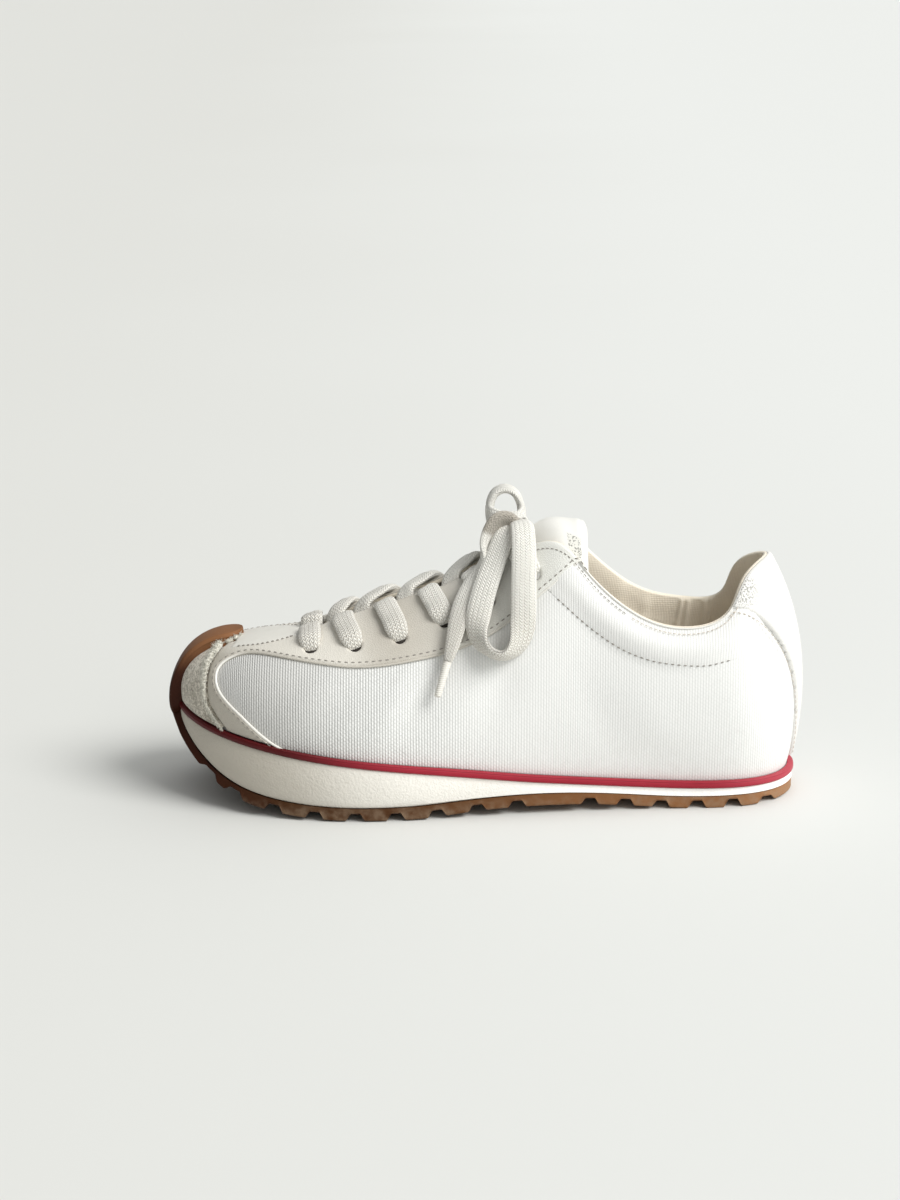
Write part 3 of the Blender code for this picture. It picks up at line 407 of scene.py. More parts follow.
for label, route, node in (("bow_loop_outer", LOOP_OUTER, "lace_loop_outer"),
                           ("bow_loop_inner", LOOP_INNER, "lace_loop_inner"),
                           ("bow_end_outer", END_OUTER, "lace_end_outer"),
                           ("bow_end_inner", END_INNER, "lace_end_inner")):
    points, faces = [p for p, _ in route], [f for _, f in route]
    line = resampled(points, LACE_STEP, faces)
    centre, facing = line[:, :3], unit(line[:, 3:])
    run = run_of(centre)
    free_end = "end" in label
    near_tip = np.clip((run[-1] - run) / 24.0, 0.0, 1.0) if free_end else np.ones(len(run))
    near_knot = np.clip(np.minimum(run, run[-1] - run if not free_end else run) / 9.0, 0.0, 1.0)
    width = LACE_WIDTH * (0.36 + 0.64 * near_tip ** 0.7) * (0.72 + 0.28 * near_knot)
    if label == "bow_loop_outer":
        width *= 1.0 + 0.15 * np.sin(np.pi * np.clip(run / run[-1], 0.0, 1.0)) ** 0.5
    thick = LACE_THICK * (1.0 + 0.10 * (1.0 - near_tip)) * (1.0 + 0.05 * np.sin(run / 5.0))
    piece = add_lace(label, centre, facing, width, thick, node, PAINTED_SHADE_MARK * (label == "bow_end_outer"))
    route_m = (centre[np.unique([*range(0, len(centre), 3), len(centre) - 1])] - HOME) * MM
    pieces = []
    if free_end:
        pieces = [lace_tip(label.replace("bow_end", "tip"), points[-1], points[-2],
                           node.replace("lace_end", "aglet"))]

# The knot: the lace wrapped once round the roots of the loops, and drawn tight.
angles = np.linspace(0.0, 2.0 * np.pi, 61)
hoop = np.stack([-12.6 + 5.6 * np.cos(angles), 0.8 + 1.2 * np.sin(2 * angles),
                 114.0 + 3.2 * np.sin(angles)], axis=1)
hoop_out = np.stack([np.cos(angles), 0.0 * angles, 1.4 * np.sin(angles)], axis=1)
add_lace("bow_knot", hoop, unit(hoop_out), np.full(len(hoop), 9.0), np.full(len(hoop), 2.6), "lace_knot")

# ---- The lacing -----------------------------------------------------------------------------
# The same lace between the two facings: a straight bar at the front, then five crossings. Each
# strap comes out from under one facing, crosses the tongue and goes down into its eyelet.
COLUMNS = ("x", "y", "mid", "band", "bed", "ex", "ey", "ez", "out", "up", "over", "drop", "puff")
SECTIONS = (     # heel to toe on the outer side and back on the inner
    (-131.5, 0.0, 8.2, 11.8, 31.0, -118.4, 0.0, 101.0, 6.4, 24.0, 18.8, 32.0, 0.0),
    (-125.5, 17.6, 8.2, 11.8, 31.0, -108.4, 15.0, 95.4, 5.4, 24.0, 12.0, 31.0, 0.0),
    (-112.0, 27.6, 8.4, 12.0, 30.8, -101.2, 22.6, 83.0, 4.2, 24.0, 8.5, 25.0, 0.7),
    (-88.0, 31.2, 8.6, 12.2, 30.5, -84.0, 27.0, 76.4, 3.5, 24.0, 7.5, 24.0, 1.3),
    (-60.0, 33.0, 10.2, 13.8, 30.0, -61.0, 26.8, 83.2, 3.0, 24.0, 8.5, 26.0, 1.5),
    (-38.0, 35.2, 12.0, 15.6, 29.5, -43.0, 22.4, 98.5, 3.0, 26.0, 11.5, 30.0, 1.2),
    (-18.0, 37.8, 14.0, 17.6, 29.0, -29.5, 16.0, 109.8, 3.0, 28.0, 17.0, 26.0, 0.3),
    (8.0, 41.6, 17.4, 21.0, 29.0, -3.0, 8.5, 98.0, 3.0, 28.0, 21.0, 20.0, 0.0),
    (42.0, 46.0, 21.8, 25.2, 29.6, 28.0, 6.8, 84.6, 2.8, 25.0, 22.0, 15.5, 0.0),
    (75.0, 43.6, 26.0, 29.4, 33.4, 56.0, 6.5, 75.4, 2.4, 23.0, 24.0, 11.5, 0.0),
    (104.0, 31.5, 30.6, 34.0, 38.0, 67.0, 5.6, 70.4, 2.2, 21.0, 31.0, 7.4, 0.0),
    (121.3, 13.0, 34.0, 37.5, 41.5, 70.6, 3.3, 68.7, 4.0, 21.0, 34.0, 4.2, 0.0),
    (126.8, -5.0, 35.8, 39.4, 43.4, 71.8, 0.0, 68.3, 4.4, 21.0, 35.0, 3.4, 0.0),
    (121.3, -22.5, 34.4, 38.0, 42.0, 70.6, -3.3, 68.0, 3.6, 21.0, 34.0, 4.6, 0.0),
    (106.0, -36.0, 31.2, 34.8, 38.8, 67.0, -5.6, 68.8, 2.0, 22.0, 31.0, 7.0, 0.0),
    (80.0, -44.0, 26.8, 30.2, 34.2, 56.0, -6.5, 75.4, 2.4, 25.0, 26.0, 10.0, 0.0),
    (52.0, -44.8, 23.2, 26.6, 30.6, 28.0, -6.8, 84.6, 2.6, 28.0, 26.0, 13.5, 0.0),
    (14.0, -35.0, 18.2, 21.8, 29.6, -3.0, -8.5, 98.0, 3.0, 30.0, 20.0, 18.0, 0.0),
    (-18.0, -28.4, 14.0, 17.6, 29.6, -29.5, -16.0, 109.8, 4.0, 28.0, 15.0, 26.0, 0.3),
    (-40.0, -27.2, 12.0, 15.6, 29.8, -43.5, -22.4, 99.0, 4.5, 26.0, 10.0, 30.0, 1.2),
    (-62.0, -28.2, 10.2, 13.8, 30.2, -63.0, -26.0, 82.0, 4.5, 24.0, 8.5, 26.0, 1.5),
    (-90.0, -29.8, 8.6, 12.2, 30.6, -87.0, -26.4, 75.0, 4.0, 24.0, 7.5, 24.0, 1.3),
    (-111.5, -26.6, 8.4, 12.0, 30.8, -102.6, -20.6, 79.5, 4.4, 24.0, 8.5, 25.0, 0.7),
    (-124.8, -17.2, 8.2, 11.8, 31.0, -108.0, -13.0, 94.0, 5.4, 24.0, 12.0, 31.0, 0.0),
)
TOE_ROW = 12
LAST = np.array(SECTIONS)
FEATHER_INSET, FEATHER_TUCK = 2.4, 1.3      # from the sole's side in, and below the tape's top
turns_round = run_of(np.vstack([LAST[:, :2], LAST[:1, :2]]))
KNOTS = np.where(turns_round <= turns_round[TOE_ROW], 0.5 * turns_round / turns_round[TOE_ROW],
                 0.5 + 0.5 * (turns_round - turns_round[TOE_ROW])
                 / (turns_round[-1] - turns_round[TOE_ROW]))


def last_at(u):
    """Every column of the last at the parameters u, and the sole's outward normal there."""
    u = np.mod(np.asarray(u, float), 1.0)
    values = spline_at(KNOTS, LAST, u, closed=True)
    ahead = spline_at(KNOTS, LAST[:, :2], np.mod(u + 1e-4, 1.0), closed=True)
    behind = spline_at(KNOTS, LAST[:, :2], np.mod(u - 1e-4, 1.0), closed=True)
    along = unit(ahead - behind)
    column = {name: values[:, i] for i, name in enumerate(COLUMNS)}
    column["normal"] = np.stack([-along[:, 1], along[:, 0], np.zeros(len(u))], axis=1)
    return column


def wall(u, v):
    """Places on the upper's outer face: u from heel by the outer side to the toe and back, v upwards."""
    at = last_at(u)
    normal = at["normal"]
    foot = np.stack([at["x"], at["y"], at["band"] - FEATHER_TUCK], axis=1) - FEATHER_INSET * normal
    edge = np.stack([at["ex"], at["ey"], at["ez"]], axis=1)
    rising = np.array([0.0, 0.0, 1.0])
    belly = foot + at["out"][:, None] * normal + at["up"][:, None] * rising
    shoulder = edge + at["over"][:, None] * normal - at["drop"][:, None] * rising
    t = np.asarray(v, float)[:, None]
    curve = ((1 - t) ** 3 * foot + 3 * t * (1 - t) ** 2 * belly + 3 * t ** 2 * (1 - t) * shoulder
             + t ** 3 * edge)
    swell = np.sin(np.pi * np.clip((t - 0.72) / 0.28, 0.0, 1.0)) ** 2
    return curve + swell * at["puff"][:, None] * normal


def slopes_at(u, v):
    """The wall's two tangents and its outward normal."""
    low, high = np.clip(v - 1e-3, 0.0, 1.0), np.clip(v + 1e-3, 0.0, 1.0)
    along = (wall(u + 2e-4, v) - wall(u - 2e-4, v)) / 4e-4
    up = (wall(u, high) - wall(u, low)) / (high - low)[:, None]
    return along, up, unit(np.cross(up, along))


# Creases, listed one by one: two ends in side view, the side of the shoe, half the width, and the height. A
# trough is below nought. The soft ones run down from the lacing and round the ball.
CREASES = (
    (18.0, 60.0, 33.0, 30.0, 1, 7.0, -0.90), (30.0, 60.0, 45.0, 34.0, 1, 6.0, 0.65),
    (2.0, 66.0, 12.0, 38.0, 1, 8.0, 0.70), (-12.0, 70.0, -4.0, 44.0, 1, 7.0, -0.70),
    (-62.0, 50.0, -78.0, 26.0, 1, 9.0, 0.40), (-40.0, 56.0, -52.0, 30.0, 1, 8.0, -0.35),
    (52.0, 52.0, 66.0, 40.0, 1, 5.0, -0.60), (-92.0, 50.0, -100.0, 24.0, 1, 8.0, -0.30),
    (62.0, 58.0, 78.0, 44.0, 1, 5.0, 0.50),
    (20.0, 62.0, 34.0, 34.0, -1, 7.0, -0.50), (34.0, 60.0, 52.0, 40.0, -1, 6.0, 0.35),
    (4.0, 64.0, 10.0, 34.0, -1, 8.0, -0.40), (-50.0, 56.0, -62.0, 30.0, -1, 9.0, 0.40),
    (-86.0, 54.0, -96.0, 26.0, -1, 8.0, -0.35), (-16.0, 68.0, -20.0, 40.0, -1, 8.0, 0.35),
)


def folds(places, table, fade):
    """How far a table's folds raise or sink places; fade gives their height from end to end."""
    total = np.zeros(places.shape[:-1])
    for x0, z0, x1, z1, side, reach, height in table:
        start, way = np.array([x0, z0]), np.array([x1 - x0, z1 - z0])
        share = np.clip(((places[..., [0, 2]] - start) @ way) / (way @ way), 0.0, 1.0)
        away = np.linalg.norm(places[..., [0, 2]] - start - share[..., None] * way, axis=-1)
        total += height * fade(share) * np.exp(-(away / reach) ** 2) * (places[..., 1] * side > 0.0)
    return total


def creases(places):
    """How far the creases raise or sink the wall at places on it."""
    return folds(places, CREASES, lambda share: np.sin(np.pi * (0.15 + 0.7 * share)))


def wall_at(u, v, lift=0.0):
    """Places over the wall, lifted off its outer face; the creases carry whatever lies on it."""
    u, v = np.asarray(u, float), np.asarray(v, float)
    places = wall(u, v)
    return places + (lift + creases(places))[:, None] * slopes_at(u, v)[2]


side_u = {1: np.linspace(0.0, 0.53, 420), -1: np.linspace(1.0, 0.47, 420)}
side_v = np.linspace(0.0, 1.0, 130)
samples = {}
for side, reach in side_u.items():
    grid_u, grid_v = (g.ravel() for g in np.meshgrid(reach, side_v, indexing="ij"))
    samples[side] = (grid_u, grid_v, wall(grid_u, grid_v))


EDGE_ON = 2000.0           # the least area of the wall in side view, for one unit of each parameter


def on_wall(side, x, z, least=0.0):
    """Where a line across the shoe meets one side of its wall, in the wall's parameters."""
    grid_u, grid_v, places = samples[side]
    use = (places[:, 1] * side > -7.0) & (grid_v >= least)
    grid_u, grid_v, places = grid_u[use], grid_v[use], places[use]
    goal = np.stack([x, z], axis=1)
    near = np.array([np.argmin(((places[:, [0, 2]] - g) ** 2).sum(1)) for g in goal])
    u, v = grid_u[near].copy(), grid_v[near].copy()
    for _ in range(5):
        along, up, _ = slopes_at(u, v)
        miss = goal - wall(u, v)[:, [0, 2]]
        a, b, c, d = along[:, 0], up[:, 0], along[:, 2], up[:, 2]
        size = a * d - b * c
        size = np.where(abs(size) < EDGE_ON, np.where(size < 0, -EDGE_ON, EDGE_ON), size)
        u = u + np.clip((d * miss[:, 0] - b * miss[:, 1]) / size, -0.004, 0.004)
        v = np.clip(v + np.clip((a * miss[:, 1] - c * miss[:, 0]) / size, -0.02, 0.02), least, 1.0)
    return u, v


def slid(u, v, move):
    """Parameters after a move along the wall, given in millimetres."""
    along, up, _ = slopes_at(u, v)
    aa, ab, bb = (along * along).sum(1), (along * up).sum(1), (up * up).sum(1)
    ma, mb = (move * along).sum(1), (move * up).sum(1)
    size = aa * bb - ab * ab
    return u + (ma * bb - mb * ab) / size, np.clip(v + (mb * aa - ma * ab) / size, 0.0, 1.0)


FIRST_EYELET, EYELET_PITCH, EYELET_RADIUS = 70.2, 18.3, 2.4
EYELET_HEIGHTS = (65.6, 67.2, 70.6, 76.8, 85.2, 97.0)
EYELETS = tuple((FIRST_EYELET - EYELET_PITCH * i, z) for i, z in enumerate(EYELET_HEIGHTS))
LACE_LIFT = 2.9            # middle of the lace over the canvas, where it lies on the leather
UPRIGHT = np.array([0.25, 0.0, 0.97])
BEHIND_TONGUE = -34.0      # from here back the edge is the opening's and not the throat's


def edge_at(side, x):
    """Where the throat's edge passes a place along the shoe."""
    reach = side_u[side]
    edge = wall(reach, np.ones(len(reach)))
    near = np.argmin(abs(edge[:, 0] - x) + 5.0 * (edge[:, 0] < BEHIND_TONGUE))
    return reach[near], 1.0


def eyelet_at(side, index):
    """The wall's parameters at the middle of an eyelet."""
    u, v = on_wall(side, np.array([EYELETS[index][0]]), np.array([EYELETS[index][1]]), 0.4)
    return u[0], v[0]


def seen_from_above(side, spots):
    """The wall's parameters at places in plan."""
    grid_u, grid_v, places = samples[side]
    near = [np.argmin(((places[:, :2] - spot) ** 2).sum(1)) for spot in spots]
    u, v = grid_u[near], grid_v[near]
    for _ in range(3):
        u, v = slid(u, v, np.hstack([spots - wall(u, v)[:, :2], np.zeros((len(u), 1))]))
    return u, v


def up_from_eyelet(side, index, edge_x):
    """From inside an eyelet, over its upper rim and along the leather to the throat's edge."""
    hole, edge = np.array([eyelet_at(side, index), edge_at(side, edge_x)])
    ends = wall(*np.array([hole, edge]).T)
    reach = np.linalg.norm(ends[1] - ends[0])
    share = np.array([0.7 / reach, 1.5 / reach, 3.6 / reach, 0.5, 0.8, 1.0])      # of the way up
    u, v = (hole + (edge - hole) * share[:, None]).T
    if index == 0:
        spots = ends[0] + (ends[1] - ends[0]) * share[:-1, None]
        u[:-1], v[:-1] = seen_from_above(side, spots[:, :2])
    lifts = LACE_LIFT - np.array([4.9, 1.7, 0.1, 0.0, 0.2 * (side > 0), 1.6 * (side > 0)])
    out = slopes_at(u, v)[2]
    places = wall_at(u, v, lifts)
    out[0] = unit(out[0] + 1.6 * unit(places[0] - places[2]))
    out[-2:] = unit(out[-2:] + UPRIGHT)
    return places, out


def add_strap(name, points, faces, both_ends, node, full=1.04):
    """A strap that is drawn together where it dives into an eyelet, and pressed at its middle."""
    line = resampled(points, LACE_STEP, faces)
    run = run_of(line[:, :3])
    from_end = np.minimum(run, run[-1] - run) if both_ends else run
    width = LACE_WIDTH * full * (0.46 + 0.54 * np.clip(from_end / 7.0, 0.0, 1.0) ** 0.55)
    thick = LACE_THICK * (1.0 + 0.06 * np.sin(run / 4.3 + points[0][0]))
    thick *= 1.0 - 0.25 * np.exp(-((run - 0.62 * run[-1]) / 5.0) ** 2) * (not both_ends)
    return add_lace(name, line[:, :3], unit(line[:, 3:]), width, thick, node)


def strap(name, side, index, over, node):
    """One strap: from under the far facing, over the tongue and down into an eyelet. Those of the
    outer side lie low and full, and those of the inner side arch over them and are narrower."""
    eyelet_x = EYELETS[index][0]
    over_share, edge_share, lifted, full = (0.74, 0.50, 0.4, 1.04) if side > 0 else (0.92, 0.30, 4.2, 0.86)
    start_x = min(eyelet_x + over_share * EYELET_PITCH, FIRST_EYELET - 7.8)
    near, near_out = up_from_eyelet(side, index, eyelet_x + edge_share * (start_x - eyelet_x))
    far_u, far_v = edge_at(-side, start_x)
    far_u, far_v = np.full(2, far_u), np.array([1.0, 1.0])
    far_u, far_v = slid(far_u, far_v, np.array([[0.0, 0.0, 0.0], [0.6, -side * 6.0, -2.4]]))
    far, far_out = wall_at(far_u, far_v, np.array([-2.3, -3.1])), slopes_at(far_u, far_v)[2]
    middle = 0.5 * (near[-1] + far[0]) + np.array([0.0, 0.0, over])
    rise = far[0] + np.array([-0.6, 2.6 * side, lifted])
    add_strap(name, np.vstack([near, middle, rise, far]), np.vstack([near_out, UPRIGHT, UPRIGHT, far_out]),
              False, node, full)


near, near_out = up_from_eyelet(1, 0, FIRST_EYELET)
far, far_out = up_from_eyelet(-1, 0, FIRST_EYELET)
middle = 0.5 * (near[-1] + far[-1]) + np.array([0.0, 0.0, 2.6])
add_strap("strap_1", np.vstack([near, middle, far[::-1]]),
          np.vstack([near_out, UPRIGHT, far_out[::-1]]), True, "lace_bar_front")
for index in range(1, 6):
    strap(f"strap_{index + 1}_outer", 1, index, -3.0, f"lace_cross_{index + 1}")
    strap(f"strap_{index + 1}_inner", -1, index, 3.4, f"lace_cross_{index + 1}")

# ---- Outsole --------------------------------------------------------------------------------
# One moulded sheet of gum rubber with cross lugs. At the toe it climbs the foam and bends back
# over the toe cap as a narrow bumper with a rounded end.
GUM = np.array((     # along, height of its inner face, thickness, share of the full lug depth
    (-131.0, 4.8, 4.3, 0.2), (-112.0, 5.0, 5.0, 1.0), (-82.0, 5.1, 5.1, 1.0), (-56.0, 7.0, 5.0, 0.9),
    (-26.0, 8.4, 5.2, 0.9), (4.0, 7.3, 5.2, 0.9), (28.0, 5.7, 5.6, 1.0), (46.0, 5.4, 5.4, 1.0),
    (66.0, 5.9, 5.5, 1.0), (84.0, 7.6, 5.4, 1.0), (99.0, 10.8, 5.0, 0.9), (111.0, 16.4, 3.8, 0.7),
    (120.4, 24.2, 3.3, 0.4), (126.6, 32.6, 3.0, 0.0), (128.6, 40.5, 2.4, 0.0), (127.2, 48.0, 2.2, 0.0),
    (123.0, 55.8, 2.3, 0.0), (116.6, 61.3, 2.6, 0.0), (108.6, 65.0, 2.3, 0.0), (99.5, 66.8, 1.7, 0.0)))
VALLEYS = np.concatenate([-118.4 + 14.8 * np.arange(6), -14.0 + 16.5 * np.arange(7), [101.0, 111.5]])
LUG_DEPTH, LUG_FLANK, VALLEY_ROOF = 3.0, 1.9, 3.8
BUMPER_MIDDLE, BUMPER_HALF, BUMPER_CROWN, TIP_ROUND = -4.5, 7.5, 0.008, 9.0

gum_run = run_of(GUM[:, :2])


def gum_height(x):
    """Height of the gum's inner face over a place along the sole, up to the toe."""
    path = spline_at(gum_run, GUM[:, :2], np.linspace(0.0, gum_run[-1], 800))
    rising = path[:np.argmax(path[:, 0])]
    return np.interp(x, rising[:, 0], rising[:, 1])


def lug_share(x):
    """1 on a lug, 0 in the roof of a valley, with rounded shoulders between them."""
    away = np.min(abs(x[:, None] - VALLEYS), axis=1)
    share = np.clip((away - VALLEY_ROOF / 2) / LUG_FLANK, 0.0, 1.0)
    return share * 0.72 + 0.28 * share ** 2 * (3 - 2 * share)


outline = last_at(np.linspace(0.0, 1.0, 1201))
fine = np.linspace(0.0, gum_run[-1], 1600)
path = spline_at(gum_run, GUM, fine)
front = path[:, 0].argmax()
where = np.unique(np.concatenate([np.linspace(0.0, gum_run[-1], 560),
                                  gum_run[-1] - np.geomspace(0.05, TIP_ROUND, 16)]))
at = spline_at(gum_run, GUM, where)
along = unit(spline_at(gum_run, GUM[:, :2], np.minimum(where + 0.3, gum_run[-1]))
             - spline_at(gum_run, GUM[:, :2], np.maximum(where - 0.3, 0.0)))
outward = np.stack([along[:, 1], -along[:, 0]], axis=1)
below = np.minimum(at[:, 0], 127.0)
outer = np.interp(below, outline["x"][:601], outline["y"][:601])
inner = np.interp(-below, -outline["x"][600:], outline["y"][600:])
to_tip = np.clip((gum_run[-1] - where) / TIP_ROUND, 0.0, 1.0)
strip = BUMPER_HALF * np.sqrt(np.clip(1.0 - (1.0 - to_tip) ** 2, 0.01, 1.0))
blend = np.clip((where - (fine[front] - 14.0)) / 9.0, 0.0, 1.0)
outer = outer * (1 - blend) + (BUMPER_MIDDLE + strip) * blend
inner = inner * (1 - blend) + (BUMPER_MIDDLE - strip) * blend
crown = BUMPER_CROWN * np.clip((where - (fine[front] - 11.0)) / 11.0, 0.0, 1.0)
sunk = 4.6 * np.clip((where - (fine[front] - 12.0)) / 6.0, 0.0, 1.0)      # into the cap below it
thick = at[:, 2] - (1.0 - lug_share(at[:, 0])) * LUG_DEPTH * at[:, 3] * (where < fine[front])
# Round the section: from the outer side over the inner face, and back below with rounded edges.
top = np.linspace(0.0, 1.0, 9)
bottom = np.concatenate([[0.0, 0.004, 0.014, 0.03], np.linspace(0.06, 0.94, 19), [0.97, 0.986, 0.996, 1.0]])
rounding = np.clip(np.minimum(bottom, 1 - bottom) / 0.03, 0.0, 1.0)
rounding = 1.0 - np.sqrt(np.clip(1.0 - (1.0 - rounding) ** 2, 0.0, 1.0))
share = np.concatenate([top, [1.0, 1.0], bottom[::-1], [0.0, 0.0]])
depth = np.concatenate([np.zeros(len(top)), [0.3, 0.66], np.ones(len(bottom)), [0.66, 0.3]])
edge_back = np.concatenate([np.zeros(len(top) + 2), rounding[::-1], [0.0, 0.0]])
slant = (0.5 - share) * 1.2 * depth * (abs(share - 0.5) > 0.49)
y = outer[:, None] + (inner - outer)[:, None] * share + slant
fall = crown[:, None] * (y - BUMPER_MIDDLE) ** 2
reach = depth * thick[:, None] - edge_back * (0.9 + 0.5 * blend)[:, None] - fall
reach = np.where(depth > 0, np.maximum(reach, 0.2 * thick[:, None] - fall), reach - sunk[:, None])
rings = np.stack([at[:, :1] + reach * outward[:, :1], y,
                  np.maximum(at[:, 1:2] + reach * outward[:, 1:], 0.0)], axis=2)
gum, place, _, shader = new_finish("gum_rubber", 0.50, Specular_IOR_Level=0.12)
along, _, high = place.xyz()
cloud = place.noise(45.0, 4.0)
grain = place.noise(1500.0, 2.0)
# Painted light and shade: the bumper darker low down and lighter on top, and the gum darkest towards the toe
# and lighter towards the heel.
base = (high + cloud * 0.010).between(0.054, 0.069).blend((0.046, 0.013, 0.0065), (0.255, 0.116, 0.052))
base = (along + cloud * 0.03).between(0.128, 0.090).blend(base, (0.068, 0.027, 0.009))
base = (along + cloud * 0.03).between(0.070, -0.070).blend(base, (0.245, 0.108, 0.042))
base = (along + cloud * 0.03).between(-0.080, -0.125).blend(base, (0.36, 0.18, 0.085))
dirt = (place.noise(260.0, 4.0) * (0.010 - high).between(-0.004, 0.008)).between(0.25, 0.75)
attach(shader, Base_Color=(0.5 * dirt).blend(base, (0.30, 0.22, 0.15)),
       Roughness=0.42 + 0.22 * cloud + 0.10 * grain,
       Normal=(0.7 * grain + 0.5 * place.noise(240.0, 3.0)).relief(0.00016, 0.7))
new_piece("gum_sole", rings.reshape(-1, 3), tube_faces(*rings.shape[:2]), gum, sharp=48.0,
          node="outsole")

# ---- Midsole --------------------------------------------------------------------------------
# A block of off-white foam, thick under the ball and thin under the heel, with a faintly pitted
# moulded side that bulges a little, and a rebate for the tape.
ROUND = 480                # places round the sole
GAP, TAPE_SEAT, TAPE_PROUD = 0.35, 1.9, 0.6


def sole_ring(height, inset):
    """A closed loop round the sole at a height and an inset from its side."""
    ring = np.stack([sole["x"], sole["y"], np.broadcast_to(height, ROUND)], axis=1)
    return ring - np.broadcast_to(inset, ROUND)[:, None] * sole["normal"]


def cap_faces(first, size):
    """Faces that close a loop which starts at index first, from side to side."""
    half = size // 2
    faces = [(first, first + 1, first + size - 1)]
    faces += [(first + k, first + k + 1, first + size - k - 1, first + size - k) for k in range(1, half - 1)]
    return faces + [(first + half - 1, first + half, first + half + 1)]


def slab_faces(rings):
    """Faces of a slab from its rings, closed below and above."""
    return grid_faces(len(rings), ROUND) + cap_faces(0, ROUND) + cap_faces((len(rings) - 1) * ROUND, ROUND)


sole = last_at(np.arange(ROUND) / ROUND)
low = gum_height(sole["x"]) + 0.1
bulge = 0.9 * np.clip((sole["mid"] - low - 3.0) / 12.0, 0.0, 1.0)
lean = 0.9 * np.clip((40.0 - sole["x"]) / 40.0, 0.0, 1.0)       # the thin part tilts up a little
rings = [sole_ring(low, 1.4), sole_ring(low + 0.15, 0.75), sole_ring(low + 0.6, 0.35)]
for share in np.linspace(0.08, 0.92, 9):
    rings.append(sole_ring(low + (sole["mid"] - low) * share,
                           0.12 - bulge * np.sin(np.pi * share) + lean * (share - 0.35)))
rings += [sole_ring(sole["mid"] - 0.25, 0.15), sole_ring(sole["mid"], 0.55),
          sole_ring(sole["mid"], TAPE_SEAT + 0.2),
          sole_ring(sole["band"] - FEATHER_TUCK - GAP, TAPE_SEAT + 0.2)]
foam, place, _, shader = new_finish("foam", 0.80, Sheen_Weight=0.08)
speck = place.noise(1100.0, 3.0)
cloud = place.noise(28.0, 4.0)
x, _, _ = place.xyz()
smudge = place.noise(90.0, 5.0, 0.65).between(0.60, 0.78)
base = (0.5 * cloud + 0.9 * (speck - 0.5) + 0.3).blend((0.80, 0.765, 0.695), (0.93, 0.905, 0.85))
# Painted shade towards the toe and painted light towards the heel.
base = (x + cloud * 0.03).between(0.040, 0.115).blend(base, (0.54, 0.50, 0.43))
base = (x + cloud * 0.03).between(0.030, -0.030).blend(base, (0.985, 0.97, 0.94))
attach(shader, Base_Color=(smudge * 0.35).blend(base, (0.52, 0.46, 0.37)),
       Normal=(speck + 0.6 * place.noise(420.0, 3.0)).relief(0.00032, 0.9))
new_piece("foam_sole", np.concatenate(rings), slab_faces(rings), foam, sharp=40.0,
          node="midsole")

# ---- Tape -----------------------------------------------------------------------------------
# A ribbon of crimson rubber all round, glued into the foam's rebate. Its face is nearly flat, with
# one thin line pressed into it under its top edge.
foot = sole["mid"] + 0.15
tall = sole["band"] - 0.8 - foot
FACE = ((0.0, 0.35), (0.05, 0.10), (0.20, -0.06), (0.45, -0.14), (0.70, -0.08), (0.80, 0.02), (0.84, 0.14),
        (0.88, 0.06), (0.93, 0.04), (0.97, 0.14), (1.0, 0.5))      # share of its height, and how far back
profile = [(0.0, TAPE_SEAT), *((share, back - TAPE_PROUD) for share, back in FACE), (1.0, TAPE_SEAT)]
rings = [sole_ring(foot + tall * share, inset) for share, inset in profile]
shares = np.repeat([share for share, _ in profile], ROUND)
tape_rubber, place, spot, shader = new_finish("tape_rubber", 0.45, Specular_IOR_Level=0.25)
_, level, _ = spot.xyz()
wear = place.noise(180.0, 4.0)
# A thin line under the top edge is painted darker: painted shade in the pressed line.
painted_groove_shade = level.between(0.78, 0.82) * level.between(0.90, 0.86)
base = (0.5 * place.noise(30.0, 3.0) + 0.5 * wear).blend((0.27, 0.010, 0.022), (0.42, 0.022, 0.045))
along, _, _ = place.xyz()
# Painted shade towards the toe and painted light towards the heel.
base = (along + 0.01 * wear).between(0.035, 0.092).blend(base, (0.085, 0.0035, 0.005))
base = (along + 0.01 * wear).between(-0.08, -0.128).blend(base, (0.44, 0.050, 0.075))
attach(shader, Base_Color=(0.30 * painted_groove_shade).blend(base, (0.07, 0.004, 0.007)), Roughness=0.36 + 0.25 * wear,
       Normal=place.noise(700.0, 3.0).relief(0.00010, 0.6))
new_piece("foxing_tape", np.concatenate(rings), hoop_faces(len(rings), ROUND), tape_rubber,
          np.stack([shares * 0.0, shares], axis=1), sharp=60.0, node="sole_tape")

# ---- Insole ---------------------------------------------------------------------------------
# A cushioned footbed covered in beige cloth, dished under the heel.
rings = [sole_ring(sole["band"] - FEATHER_TUCK, 5.6), sole_ring(sole["bed"] - 1.2, 5.6)]
for inset, drop in ((5.9, 0.7), (6.5, 0.35), (7.4, 0.1), (9.0, 0.0), (11.5, 0.2), (14.5, 0.8)):
    rings.append(sole_ring(sole["bed"] - drop, inset))
footbed, place, _, shader = new_finish("footbed_cloth", 0.95, Sheen_Weight=0.3)
x, y, _ = place.xyz()
weave = (x * 900.0).wave() * (y * 900.0).wave()
tone = 0.6 * weave + 0.5 * place.noise(60.0)
attach(shader, Base_Color=tone.blend((0.47, 0.39, 0.30), (0.66, 0.57, 0.46)),
       Normal=(weave + 0.4 * place.noise(500.0)).relief(0.0003, 0.8))
new_piece("footbed", np.concatenate(rings), slab_faces(rings), footbed, sharp=40.0,
          node="insole")

# ---- Canvas upper ---------------------------------------------------------------------------
# One wrap of cool white canvas, drawn over the last and tucked in behind the tape. Its knotted
# weave runs in upright rows. Soft creases from wear run down from the lacing.
CANVAS = 620               # places round the upper
WEAVE_WIDE, WEAVE_TALL = 1.14, 1.6


